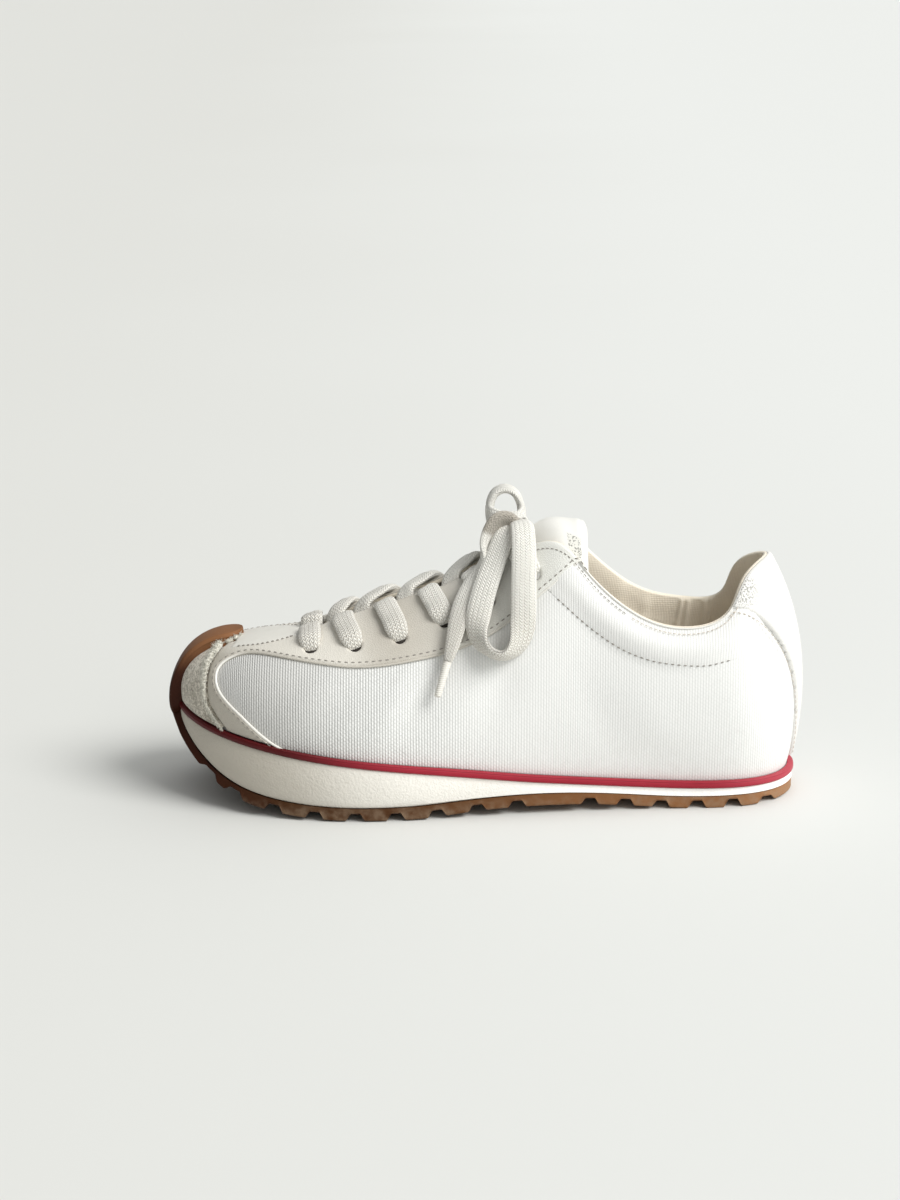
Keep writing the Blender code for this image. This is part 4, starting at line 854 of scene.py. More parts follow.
def wall_grid(u, v, lifts):
    """Rows of places over the wall, a row for each v, lifted off it."""
    grid_u, grid_v = np.meshgrid(u, v)
    places = wall_at(grid_u.ravel(), grid_v.ravel(), np.broadcast_to(lifts, grid_u.shape).ravel())
    return places.reshape(len(v), len(u), 3)


def cloth_map(u, v):
    """Millimetres along the wall at half its height, and up it, at pairs of parameters."""
    table_u, table_v = np.linspace(-0.25, 1.25, 901), np.linspace(0.0, 1.0, 61)
    middle = wall(table_u, np.full(901, 0.5))
    girth = run_of(middle)
    coarse = np.linspace(-0.25, 1.25, 151)
    grid_u, grid_v = np.meshgrid(coarse, table_v)
    places = wall(grid_u.ravel(), grid_v.ravel()).reshape(61, 151, 3)
    climb = np.vstack([np.zeros(151), np.cumsum(np.linalg.norm(np.diff(places, axis=0), axis=2), axis=0)])
    s, t = np.clip((u + 0.25) / 1.5 * 150, 0, 149.999), np.clip(v * 60, 0, 59.999)
    i, j, a, b = s.astype(int), t.astype(int), s % 1.0, t % 1.0
    tall = ((climb[j, i] * (1 - a) + climb[j, i + 1] * a) * (1 - b)
            + (climb[j + 1, i] * (1 - a) + climb[j + 1, i + 1] * a) * b)
    x = wall(u, v)[:, 0]
    outer, inner = (table_u >= 0.0) & (table_u <= 0.5), (table_u >= 0.5) & (table_u <= 1.0)
    upright = np.where(np.mod(u, 1.0) < 0.5, np.interp(x, middle[outer, 0], girth[outer]),
                       np.interp(-x, -middle[inner, 0], girth[inner]))
    return np.stack([upright, tall], axis=1)


canvas_u = np.arange(CANVAS) / CANVAS
canvas_v = np.concatenate([np.linspace(0.0, 0.985, 96), np.linspace(0.985, 0.0, 18)])
deep = np.concatenate([np.zeros(96), np.full(18, -0.8)])        # up the face, and down again behind it
rings = wall_grid(canvas_u, canvas_v, deep[:, None])
grid_u, grid_v = np.meshgrid(canvas_u, canvas_v)
canvas, place, weave, shader = new_finish("canvas", 0.92, Sheen_Weight=0.12, Sheen_Roughness=0.5)


def knots_of(weave, wide, tall):
    """1 on each raised knot of a weave whose rows stand half a knot apart."""
    across, up, _ = weave.xyz()
    row = across / wide
    stagger = (row.math("FLOOR") * 0.5).math("FRACT")
    knot = (row.wave() * (up / tall + stagger).wave()).math("SQRT")
    return knot, row.wave()


knot, row = knots_of(weave, WEAVE_WIDE, WEAVE_TALL)
slub = weave.noise(0.55, 4.0)
cloud = place.noise(26.0, 4.0)
x, _, high = place.xyz()
# Towards the heel the weave is flattened and its colour evened out and paler: painted light, as if washed
# out by the lamp.
painted_glare = (x + 0.03 * cloud).between(0.085, -0.010)
height = (0.42 * knot + 0.50 * row + 0.35 * slub) * (1.0 - 0.62 * painted_glare)
dust = place.noise(120.0, 5.0, 0.65).between(0.58, 0.80)
low_dirt = (high - 0.018).between(0.022, 0.0) * place.noise(300.0, 4.0).between(0.35, 0.7)
yarn = (0.45 * knot + 0.34 * row + 0.60 * (slub - 0.5)).between(0.0, 0.85)
base = yarn.blend((0.59, 0.595, 0.58), (0.93, 0.93, 0.915))
base = (0.74 * painted_glare).blend(base, (0.85, 0.85, 0.835))
base = (0.30 * (1.0 - cloud)).blend(base, (0.76, 0.755, 0.735))
# Painted shade towards the toe.
base = (0.60 * (x + 0.02 * cloud).between(0.048, 0.100)).blend(base, (0.52, 0.51, 0.49))
base = (0.10 * dust + 0.07 * low_dirt).blend(base, (0.48, 0.45, 0.40))
attach(shader, Base_Color=base, Normal=height.relief(0.00030, 0.9))
new_piece("canvas_upper", rings.reshape(-1, 3), hoop_faces(len(canvas_v), CANVAS), canvas,
          cloth_map(grid_u.ravel(), grid_v.ravel()), node="upper")

# ---- Lining ---------------------------------------------------------------------------------
# Beige cloth inside the upper. It swells over the collar's foam, is rolled over the opening's
# edge, and has slackened into a few wrinkles behind the ankle.
LINING = 780               # places round the opening
WALL_THICK, FOAM_THICK = 1.8, 4.6
lining, place, weave, shader = new_finish("lining_cloth", 0.93, Sheen_Weight=0.3)
across, up, _ = weave.xyz()
thread = (across / 0.7).wave() * 0.5 + (up / 0.7).wave() * 0.5
tone = 0.55 * thread + 0.6 * place.noise(40.0)
attach(shader, Base_Color=tone.blend((0.86, 0.76, 0.61), (0.97, 0.90, 0.77)),
       Normal=(0.6 * thread + 0.5 * place.noise(600.0)).relief(0.00022, 0.8))
lining_u = np.arange(LINING) / LINING
at = last_at(lining_u)
padded = np.clip(at["puff"] / 1.5, 0.0, 1.0)
inside_v = np.concatenate([np.linspace(0.0, 0.86, 24), np.linspace(0.875, 1.0, 16)])
from_rim = np.clip(np.minimum((inside_v - 0.40) / 0.36, (1.0 - inside_v) / 0.16), 0.0, 1.0)
foam_share = np.sin(0.5 * np.pi * from_rim)
depth = WALL_THICK + 0.5 * padded[None, :] + FOAM_THICK * padded[None, :] * foam_share[:, None]
grid_u, grid_v = np.meshgrid(lining_u, inside_v)
middle = wall(grid_u.ravel(), grid_v.ravel()).reshape(*grid_u.shape, 3)
WRINKLES = (       # ends in side view, side of the shoe, half the width, height
    (-86.4, 75.0, -84.6, 60.0, -1, 0.9, 1.0), (-89.0, 75.0, -88.6, 58.0, -1, 1.1, 0.9),
    (-96.2, 76.0, -97.2, 60.0, -1, 1.0, 1.0), (-99.0, 77.0, -98.8, 62.0, -1, 0.9, 0.9),
    (-71.0, 74.0, -68.0, 60.0, -1, 2.2, 0.6), (-60.0, 80.0, -60.0, 62.0, -1, 3.0, 0.5),
    (-86.0, 75.0, -85.0, 58.0, 1, 1.1, 0.9), (-95.0, 76.0, -95.4, 60.0, 1, 1.0, 0.9),
    (-72.0, 74.0, -70.0, 58.0, 1, 2.4, 0.6))
slack = folds(middle, WRINKLES, lambda share: 1.0 - 0.4 * share)
inner_rows = wall_grid(lining_u, inside_v, -depth - slack)
rim, (_, rising, out) = wall_at(lining_u, np.ones(LINING)), slopes_at(lining_u, np.ones(LINING))
reach = 0.5 * depth[-1][:, None]
turned = []
for angle in np.pi * np.arange(1, 7) / 7:        # over the edge in a half round
    turned.append(rim - reach * out * (1 + np.cos(angle)) + 0.55 * reach * np.sin(angle) * unit(rising))
back_v = np.array([0.985, 0.95, 0.90, 0.8, 0.6, 0.4, 0.2, 0.0])
back_rows = wall_grid(lining_u, back_v, -0.95)
rings = np.concatenate([inner_rows, np.array(turned), back_rows])
flat_v = np.concatenate([inside_v, np.ones(len(turned)), back_v])
grid_u, grid_v = np.meshgrid(lining_u, flat_v)
new_piece("lining_sock", rings.reshape(-1, 3), hoop_faces(len(rings), LINING), lining,
          cloth_map(grid_u.ravel(), grid_v.ravel()), node="upper")

# ---- Collar ---------------------------------------------------------------------------------
# A padded band of the same cloth round the ankle, finer ribbed, sewn down along a dashed seam,
# so that it stands a little prouder than the quarter below it.
FACING_SEAM = ((-47.0, 109.5), (-37.5, 101.4), (-21.0, 87.4), (-1.5, 72.6), (24.0, 64.3), (54.0, 60.8),
               (86.0, 63.0), (104.0, 59.9), (108.6, 55.6), (108.6, 51.4), (104.6, 46.1), (98.6, 41.4),
               (90.2, 34.6), (85.8, 31.6), (81.0, 29.0), (73.0, 24.0), (66.0, 14.0))
CAP_SEAM = ((97.0, 24.0), (104.1, 33.5), (108.1, 38.3), (111.7, 43.5), (112.7, 50.0), (112.0, 55.8),
            (109.3, 60.0), (104.2, 63.2), (99.8, 65.0), (98.4, 68.0), (98.0, 80.0))
COUNTER_SEAM = ((-98.0, 83.4), (-104.5, 82.6), (-112.0, 78.6), (-120.7, 69.0), (-126.6, 57.4),
                (-129.8, 44.3), (-130.6, 28.0), (-129.0, 6.0))
VAMP_SEAM = ((103.4, 62.2), (101.0, 62.8), (97.0, 63.6), (89.6, 64.9), (82.0, 66.4), (76.8, 67.4),
             (74.5, 67.8))
COLLAR_SEAM = ((-27.1, 91.4), (-33.6, 85.8), (-39.4, 80.6), (-47.6, 74.2), (-55.7, 69.0), (-63.9, 65.4),
               (-72.0, 63.1), (-80.2, 61.9), (-88.5, 61.2), (-93.9, 61.5), (-99.3, 62.6), (-105.2, 63.7),
               (-111.0, 66.4))
SEWN_IN = 0.022            # how far up the wall a panel begins, behind the tape


def seam_line(points, step=0.8):
    """A seam in side view as a smooth line of even points."""
    flat = np.array([(x, 0.0, z) for x, z in points])
    return resampled(flat, step)[:, [0, 2]]


def beside(line, distance):
    """A line in side view moved to its left."""
    along = unit(np.gradient(line, axis=0))
    return line + distance * np.stack([-along[:, 1], along[:, 0]], axis=1)


def within(points, outline):
    """Which points in side view lie inside a closed outline."""
    inside = np.zeros(len(points), bool)
    for (x0, z0), (x1, z1) in zip(outline, np.roll(outline, -1, axis=0)):
        if z0 == z1:
            continue
        crosses = ((z0 > points[:, 1]) != (z1 > points[:, 1]))
        inside ^= crosses & (points[:, 0] < (x1 - x0) * (points[:, 1] - z0) / (z1 - z0) + x0)
    return inside


BATCH = 4000               # places measured at a time


def depth_inside(places, normals, outline, holes):
    """Distance over the wall from an outline or a hole, above nought inside, and the way from it."""
    flat = places[:, [0, 2]]
    dense = []
    for a, b in zip(outline, np.roll(outline, -1, axis=0)):
        steps = max(1, int(np.linalg.norm(b - a) / 1.0))
        dense.append(a + (b - a) * (np.arange(steps) / steps)[:, None])
    dense = np.vstack(dense)
    after = np.roll(dense, -1, axis=0)
    best, near = np.full(len(flat), 1e9), np.zeros((len(flat), 2))
    for first in range(0, len(flat), BATCH):
        part = flat[first:first + BATCH, None]
        way = (after - dense)[None]
        share = np.clip(((part - dense[None]) * way).sum(2) / np.maximum((way ** 2).sum(2), 1e-9), 0.0, 1.0)
        spot = dense[None] + share[..., None] * way
        away = ((part - spot) ** 2).sum(2)
        pick = away.argmin(1)
        rows = np.arange(len(pick))
        best[first:first + BATCH] = np.sqrt(away[rows, pick])
        near[first:first + BATCH] = spot[rows, pick]
    sign = np.where(within(flat, outline), 1.0, -1.0)
    way = (flat - near) / np.maximum(best, 1e-6)[:, None] * sign[:, None]
    full = np.stack([way[:, 0], np.zeros(len(way)), way[:, 1]], axis=1)
    tangent = full - (full * normals).sum(1)[:, None] * normals
    slope = np.maximum(np.linalg.norm(tangent, axis=1), 0.25)
    depth, way = sign * best / slope, tangent / slope[:, None]
    for middle in holes:
        off = places - middle
        off -= (off * normals).sum(1)[:, None] * normals
        far = np.linalg.norm(off, axis=1)
        use = far - EYELET_RADIUS < depth
        depth[use], way[use] = (far - EYELET_RADIUS)[use], off[use] / np.maximum(far, 1e-6)[use, None]
    return depth, way


WALL_LONG, WALL_TALL = 590.0, 92.0      # about its length all round, and its height


def panel(name, outline, u_span, v_span, spacing, lift_at, finish, node, base=0.05, holes=()):
    """A piece cut from sheet and laid on the wall: whole cells inside the outline, with those
    at its edge drawn to it. lift_at gives its height from the distance to its nearest edge."""
    outline = np.array(outline)
    u_line = np.linspace(*u_span, max(8, int(WALL_LONG * (u_span[1] - u_span[0]) / spacing)))
    v_line = np.linspace(*v_span, max(6, int(WALL_TALL * (v_span[1] - v_span[0]) / spacing)))
    grid_u, grid_v = (g.ravel().copy() for g in np.meshgrid(u_line, v_line, indexing="ij"))
    size = len(v_line)
    places, normals = wall(grid_u, grid_v), slopes_at(grid_u, grid_v)[2]
    inside, way = depth_inside(places, normals, outline, holes)
    for _ in range(3):
        loose = np.where((abs(inside) < 0.52 * spacing) & (inside != 0.0))[0]
        moved_u, moved_v = slid(grid_u[loose], grid_v[loose], -inside[loose, None] * way[loose])
        moved_v = np.clip(moved_v, *v_span)
        grid_u[loose], grid_v[loose] = moved_u, moved_v
        places[loose], normals[loose] = wall(moved_u, moved_v), slopes_at(moved_u, moved_v)[2]
        inside[loose], way[loose] = depth_inside(places[loose], normals[loose], outline, holes)
    kept = inside > -0.15      # cells outside are left away
    inside[loose] = np.where(abs(inside[loose]) < 0.2, 0.0, inside[loose])
    i, j = (g.ravel() for g in np.meshgrid(np.arange(len(u_line) - 1), np.arange(size - 1), indexing="ij"))
    corners = np.stack([i * size + j, (i + 1) * size + j, (i + 1) * size + j + 1, i * size + j + 1], axis=1)
    good = kept[corners]
    whole = corners[good.all(1)]
    thirds = corners[good.sum(1) == 3]
    thirds = np.array([[k for k, g in zip(row, kept[row]) if g] for row in thirds]).reshape(-1, 3)
    cells = [*whole.tolist(), *thirds.tolist()]
    used = np.unique(np.concatenate([whole.ravel(), thirds.ravel()]))
    number = np.full(len(grid_u), -1)
    number[used] = np.arange(len(used))
    cells = [[int(number[k]) for k in cell] for cell in cells]
    flat_u, flat_v, from_edge = grid_u[used], grid_v[used], np.maximum(inside[used], 0.0)
    height = np.linalg.norm(slopes_at(flat_u, flat_v)[1], axis=1)
    if v_span[1] > 0.97:
        from_edge = np.minimum(from_edge, (v_span[1] - flat_v) * height)
    lifts = lift_at(from_edge)
    top, under = wall_at(flat_u, flat_v, lifts), wall_at(flat_u, flat_v, np.minimum(base, lifts - 0.05))
    sides = {}
    for cell in cells:
        for a, b in zip(cell, cell[1:] + cell[:1]):
            sides[(a, b)] = sides.get((a, b), 0) + 1
    rim = [(a, b) for a, b in sides if (b, a) not in sides]
    shift = len(used)
    faces = cells + [[k + shift for k in reversed(cell)] for cell in cells]
    faces += [[b, a, a + shift, b + shift] for a, b in rim]
    spots = np.tile(cloth_map(flat_u, flat_v), (2, 1))
    return new_piece(name, np.vstack([top, under]), faces, finish, spots, node=node, sharp=70.0)


def rounded(full, reach):
    """A height that rises to its full value in a quarter round from the edge."""
    return lambda edge: 0.25 * full + 0.75 * full * np.sqrt(
        np.clip(1.0 - (1.0 - np.clip(edge / reach, 0.0, 1.0)) ** 2, 0.0, 1.0))


collar_line = seam_line(COLLAR_SEAM)
collar_cut = [*collar_line, (-125.0, 90.0), (-125.0, 120.0), (-10.0, 130.0), (-14.0, 100.0)]
ribbed, place, weave, shader = new_finish("collar_cloth", 0.92, Sheen_Weight=0.12, Sheen_Roughness=0.5)
knot, row = knots_of(weave, WEAVE_WIDE, 0.5 * WEAVE_TALL)
slub = weave.noise(0.7, 4.0)
cloud = place.noise(40.0, 3.0)
base = (0.40 * row + 0.3 * knot + 0.6 * (slub - 0.5)).between(-0.1, 0.75)
base = base.blend((0.81, 0.81, 0.795), (0.89, 0.885, 0.87))
attach(shader, Base_Color=(0.25 * (1.0 - cloud)).blend(base, (0.76, 0.75, 0.72)),
       Normal=(0.5 * row + 0.3 * knot + 0.4 * slub).relief(0.00014, 0.8))


def collar_lift(edge):
    """Flat at the sewn edge, then a soft swell that eases off towards the opening."""
    swell = np.clip(edge / 9.0, 0.0, 1.0)
    return 0.12 + 0.95 * swell * swell * (3 - 2 * swell) + 0.22 * np.clip(edge / 1.5, 0.0, 1.0)


for label, span in (("outer", (0.012, 0.30)), ("inner", (0.70, 0.988))):
    pad = panel(f"collar_pad_{label}", collar_cut, span, (0.35, 1.0), 1.0, collar_lift, ribbed, "upper")

# ---- Facings, vamp and toe guard ------------------------------------------------------------
# One cut of smooth greige leather: both lace facings, the plain vamp in front of them and the
# guard round the toe. Its edge round the canvas is turned over a cord and stitched behind it.
GUARD_THICK, STRIP_THICK, LEATHER_ROUND = 1.45, 0.35, 1.2
leather, place, _, shader = new_finish("smooth_leather", 0.42, Coat_Weight=0.05, Coat_Roughness=0.4)
cells = place.node("TexVoronoi", feature="DISTANCE_TO_EDGE", feeds={"Vector": place, "Scale": 1250.0})
pore = cells.between(0.0, 0.35)
cloud = place.noise(38.0, 4.0)
fine_grain = place.noise(1900.0, 3.0)
crinkle = place.noise(150.0, 5.0, 0.6)
x, _, high = place.xyz()
# The leather is painted paler towards the heel: painted light.
pale = (x + 0.010 * cloud).between(0.040, -0.022)
tone = (0.5 * cloud + 0.5 * crinkle).blend((0.53, 0.492, 0.424), (0.64, 0.603, 0.54))
painted_rear_light = (0.5 * cloud + 0.5 * crinkle).blend((0.80, 0.80, 0.75), (0.87, 0.87, 0.83))
# Lighter on the vamp beside the front eyelets: painted light.
painted_vamp_light = (x + 0.010 * cloud).between(0.046, 0.064) * high.between(0.054, 0.061)
# Darker low on the toe guard: painted shade.
painted_toe_shade = (x + 0.010 * cloud).between(0.078, 0.096) * high.between(0.066, 0.060)
tone = painted_toe_shade.blend(painted_vamp_light.blend(tone, (0.77, 0.735, 0.665)), (0.52, 0.485, 0.42))
attach(shader, Base_Color=(0.12 * (1.0 - pore)).blend(pale.blend(tone, painted_rear_light), (0.42, 0.38, 0.32)),
       Roughness=0.34 + 0.22 * crinkle + 0.10 * fine_grain,
       Normal=(0.8 * pore + 0.5 * fine_grain + 0.9 * crinkle).relief(0.00013, 0.75))
facing_line = seam_line(FACING_SEAM)
cap_line = seam_line(CAP_SEAM)
guard_cut = [*facing_line, *beside(cap_line, 0.25), (96.0, 135.0), (-62.0, 135.0)]
spots = np.array([eyelet_at(side, index) for side in (1, -1) for index in range(6)])
eyelet_middles = wall(*spots.T)
panel("lacing_guard", guard_cut, (0.15, 0.85), (SEWN_IN, 1.0), 0.8, rounded(GUARD_THICK, LEATHER_ROUND),
      leather, "facing_guard", holes=eyelet_middles)
strip_line = seam_line(VAMP_SEAM)
strip_leather, place, _, shader = new_finish("strip_leather", 0.42, Coat_Weight=0.05, Coat_Roughness=0.4)
crinkle = place.noise(150.0, 5.0, 0.6)
attach(shader, Base_Color=crinkle.blend((0.70, 0.68, 0.62), (0.82, 0.80, 0.75)),
       Roughness=0.34 + 0.25 * crinkle,
       Normal=(0.5 * place.noise(1900.0, 3.0) + 0.9 * crinkle).relief(0.00013, 0.75))
strip_cut = [*strip_line, (74.5, 90.0), (97.7, 90.0), (97.9, 68.0), (99.6, 65.0)]
panel("vamp_strip", strip_cut, (0.43, 0.57), (0.40, 1.0), 0.7,
      lambda edge: GUARD_THICK - 0.05 + rounded(STRIP_THICK, 0.5)(edge), strip_leather, "facing_guard",
      base=GUARD_THICK - 0.25)

# Each eyelet is punched right through the leather. Under each lies a near-black disc on the canvas: painted
# shade for the dark inside of the hole.
hole_shade_paint, place, _, shader = new_finish("painted_hole_shade", 0.9)
attach(shader, Base_Color=place.noise(900.0).blend((0.018, 0.015, 0.012), (0.05, 0.042, 0.035)))


def shifted(faces, first):
    """The same faces for points that begin at index first."""
    return [[first + k for k in face] for face in faces]


points, faces = [], []
for (u, v), middle in zip(spots, eyelet_middles):
    out = slopes_at(np.array([u]), np.array([v]))[2][0]
    side = unit(np.cross(out, UPRIGHT))
    first = len(points)
    for reach, rise in ((EYELET_RADIUS + 0.35, 0.02), (EYELET_RADIUS + 0.35, 0.22)):
        for angle in np.arange(24) * np.pi / 12:
            way = np.cos(angle) * side + np.sin(angle) * np.cross(out, side)
            points.append(middle + reach * way + (rise + creases(middle[None])[0]) * out)
    faces += shifted(tube_faces(2, 24), first)
new_piece("eyelet_shade_discs", points, faces, hole_shade_paint)

# ---- Toe cap --------------------------------------------------------------------------------
# Greige suede with its nap up, cut raw at the rear, where the edge has frayed into pale fibres.
CAP_THICK = 1.65
suede, place, _, shader = new_finish("suede", 0.97, Sheen_Weight=0.55, Sheen_Roughness=0.45,
                                     Sheen_Tint=(0.95, 0.92, 0.86, 1.0))
nap = place.noise(620.0, 5.0, 0.7)
fleck = place.noise(1400.0, 2.0, 0.5)
brushed = place.noise(75.0, 4.0, 0.6)
shade = (0.7 * nap + 0.35 * brushed + 0.6 * fleck).between(0.62, 1.02)
attach(shader, Base_Color=shade.blend((0.29, 0.255, 0.20), (0.86, 0.81, 0.71)),
       Normal=(0.8 * nap + 0.5 * brushed + 0.5 * fleck).relief(0.00060, 0.9))
cap_cut = [*beside(cap_line, -0.25), (150.0, 80.0), (150.0, 20.0)]
panel("suede_cap", cap_cut, (0.40, 0.60), (SEWN_IN, 1.0), 0.8, rounded(CAP_THICK, LEATHER_ROUND), suede,
      "toe_cap")

# ---- Heel counter ---------------------------------------------------------------------------
# White leather round the back of the heel, which runs up into the heel tab.
COUNTER_THICK, COUNTER_ROUND = 1.5, 1.3
heel_leather, place, _, shader = new_finish("heel_leather", 0.45, Coat_Weight=0.04, Coat_Roughness=0.4)
crinkle, fine_grain = place.noise(170.0, 5.0, 0.6), place.noise(1900.0, 3.0)
cells = place.node("TexVoronoi", feature="DISTANCE_TO_EDGE", feeds={"Vector": place, "Scale": 1300.0})
away = place.node("VectorMath", out=1, operation="DISTANCE", feeds={0: place, 1: (-0.1035, 0.0195, 0.0905)})
worn = (away + 0.006 * place.noise(240.0)).between(0.0150, 0.0065)
fleck = place.noise(1500.0, 1.0, 0.3).between(0.46, 0.40)
skin = (0.5 * crinkle + 0.5 * place.noise(30.0)).blend((0.74, 0.725, 0.695), (0.86, 0.85, 0.825))
attach(shader, Base_Color=(0.75 * worn * fleck).blend(skin, (0.24, 0.235, 0.21)),
       Roughness=0.38 + 0.22 * crinkle,
       Normal=(0.7 * cells.between(0.0, 0.35) + 0.9 * crinkle + 0.4 * fine_grain
               + 1.5 * worn * fleck).relief(0.00012, 0.75))
counter_line = seam_line(COUNTER_SEAM)
counter_cut = [*counter_line, (-150.0, 6.0), (-150.0, 130.0), (-92.0, 130.0)]
panel("heel_wrap", counter_cut, (-0.11, 0.11), (SEWN_IN, 1.0), 0.8, rounded(COUNTER_THICK, COUNTER_ROUND),
      heel_leather, "heel_counter")

# ---- Tongue ---------------------------------------------------------------------------------
# A padded tongue of white leather over foam, with a beige lining. It runs under both facings and
# stands out of the opening, with a dark speckled woven patch beside its rolled top edge.
TONGUE_ROWS = (     # facing beside it, along, top, how far down its side reaches, its thickness
    (0.181, -44.4, 112.2, 0.93, 5.0), (0.187, -41.2, 115.2, 0.91, 6.2), (0.195, -37.2, 115.6, 0.90, 6.0),
    (0.206, -31.5, 116.2, 0.87, 5.8), (0.218, -25.5, 115.4, 0.84, 5.4), (0.230, -19.5, 111.4, 0.81, 4.6),
    (0.253, -8.5, 98.6, 0.77, 3.4), (0.283, 10.0, 87.4, 0.75, 3.2), (0.321, 30.0, 79.4, 0.75, 3.2),
    (0.358, 50.0, 73.2, 0.75, 3.2), (0.386, 60.0, 70.6, 0.77, 3.0), (0.425, 68.0, 67.0, 0.80, 2.6),
    (0.455, 73.5, 64.4, 0.84, 2.0))
LONG, WIDE = 150, 57       # rows of its mesh from the rolled top to the toe, and places in a row
lines, pads = [], []
for beside_u, x, top, side, pad in TONGUE_ROWS:
    v = np.array([side, 0.5 * side + 0.49, 0.98])
    low = -(WALL_THICK + GAP + 1.2 + 0.5 * (x < -18.0))
    outer = wall_at(np.full(3, beside_u), v, low)
    inner = wall_at(np.full(3, 1.0 - beside_u), v, low)
    crest = np.array([x, 0.0, top])
    bridge = [edge + (crest - edge) * (0.42, 0.42, 0.66) for edge in (outer[-1], inner[-1])]
    lines.append([*outer, bridge[0], crest, bridge[1], *inner[::-1]])
    pads.append(pad)
lines, pads = np.array(lines), np.array(pads)
rows = run_of(lines[:, 4])
down = np.linspace(0.0, rows[-1], LONG)
long_rows = spline_at(rows, np.hstack([lines.reshape(len(rows), -1), pads[:, None]]), down)
pads, lines = long_rows[:, -1], long_rows[:, :-1].reshape(LONG, 9, 3)
wide = np.linspace(0.0, 8.0, WIDE)
face = np.array([spline_at(np.arange(9.0), line, wide) for line in lines])
normal = unit(np.cross(np.gradient(face, axis=0), np.gradient(face, axis=1)))
normal *= np.sign(normal[LONG // 2, WIDE // 2, 2])
near_side = np.minimum(wide, 8.0 - wide) / 4.0
near_end = np.clip(down / 4.0, 0.0, 1.0)
full = (0.30 + 0.70 * np.sin(np.pi / 2 * np.clip(near_side * 2.2, 0.0, 1.0)))[None, :]
full = full * (0.18 + 0.82 * np.sin(np.pi / 2 * near_end))[:, None]
channel = np.exp(-((near_side[None, :] - 0.17) / 0.05) ** 2)
crown_up = 0.5 * (1.0 - full) * pads[:, None] * 0.5 + 0.35 * channel
roll = np.exp(-((down - 4.6) / 0.7) ** 2)[:, None]
over = face - (crown_up + 0.45 * roll)[..., None] * normal
under = face - (pads[:, None] * (0.35 + 0.65 * full))[..., None] * normal
rings = np.concatenate([over, under[:, ::-1]], axis=1)
size = rings.shape[1]
last = (LONG - 1) * size
ends = [[k, k + 1, size - k - 2, size - k - 1] for k in range(WIDE - 1)]
quads = grid_faces(LONG, size) + ends + [[last + k for k in reversed(end)] for end in ends]
marked = np.concatenate([wide, 100.0 + wide[::-1]])      # the underside lies a hundred further on
spots = np.stack(np.broadcast_arrays(marked[None, :], down[:, None]), axis=-1)
tongue_skin, place, spot, shader = new_finish("tongue_skin", 0.6, Sheen_Weight=0.15)
over_share, from_top, _ = spot.xyz()
crinkle, fine_grain = place.noise(150.0, 5.0, 0.6), place.noise(1700.0, 3.0)
speckle = place.noise(1500.0, 1.0, 0.3).between(0.44, 0.39)
patch = (from_top.between(5.0, 5.4) * from_top.between(12.6, 12.2) * over_share.between(0.3, 0.4)
         * over_share.between(3.1, 3.0))
beneath = over_share.between(50.0, 60.0)
skin = (0.5 * crinkle + 0.5 * place.noise(40.0)).blend((0.76, 0.745, 0.70), (0.87, 0.86, 0.82))
skin = beneath.blend(skin, (0.56, 0.49, 0.40))
x, _, _ = place.xyz()
# Near-black forward of the middle of the lacing: painted shade on the tongue under the laces.
skin = (x + 0.004 * crinkle).between(-0.004, 0.004).blend(skin, (0.055, 0.046, 0.038))
woven = (0.8 * speckle).blend((0.76, 0.75, 0.70), (0.21, 0.21, 0.19))
attach(shader, Base_Color=patch.blend(skin, woven),
       Roughness=0.5 + 0.3 * patch + 0.15 * crinkle,
       Normal=(0.8 * crinkle + 0.4 * fine_grain + 1.2 * patch * speckle).relief(0.00016, 0.8))
tongue = new_piece("tongue_pad", rings.reshape(-1, 3), quads, tongue_skin, spots.reshape(-1, 2), sharp=60.0,
                   node="tongue")

# ---- Seams and stitches ---------------------------------------------------------------------
# White cord under the turned edges, and rows of sewing thread: dark dashes beside the canvas,
# along the collar and down the middle of the vamp, and small pale stitches round the opening.
def trail(side, line, aside, lift, start=0.0, stop=1.0, least=0.0):
    """Places along a seam on one side, moved over the wall to its left, with their normals.
    aside gives the distance moved from the place along the shoe."""
    run = run_of(line)
    part = line[(run >= start * run[-1]) & (run <= stop * run[-1])]
    u, v = on_wall(side, part[:, 0], part[:, 1], least)
    places, (_, _, normals) = wall(u, v), slopes_at(u, v)
    along = unit(np.gradient(places, axis=0))
    way = np.cross(normals, along) * (-side)
    u, v = slid(u, v, aside(part[:, :1]) * way)
    return wall_at(u, v, lift), slopes_at(u, v)[2]


def steady(distance):
    """The same distance aside all along a seam."""
    return lambda x: distance


def cord_along(name, line, radii, finish):
    """A thin round cord through places along a seam, with a radius for each of its eight sides."""
    along = unit(np.gradient(line, axis=0))
    side = unit(np.cross(along, np.array([0.31, 0.22, 0.92])))
    other = np.cross(along, side)
    angles = (np.arange(8) * np.pi / 4)[None, :, None]
    count = np.arange(len(line))
    taper = np.clip(np.minimum(count, count[::-1]) / 2.0 + 0.3, 0.0, 1.0)
    reach = (radii * taper[:, None])[..., None]
    rings = line[:, None] + reach * (np.cos(angles) * side[:, None] + np.sin(angles) * other[:, None])
    spots = np.stack(np.broadcast_arrays(np.arange(8)[None, :] * 0.5, run_of(line)[:, None]), axis=-1)
    return new_piece(name, rings.reshape(-1, 3), tube_faces(len(line), 8), finish, spots.reshape(-1, 2))


def even_cord(name, centres, radius, finish):
    """A cord of even rings; its radius may change from place to place."""
    line = resampled(centres, 0.9, np.broadcast_to(radius, len(centres)))
    return cord_along(name, line[:, :3], np.repeat(line[:, 3:], 8, axis=1), finish)


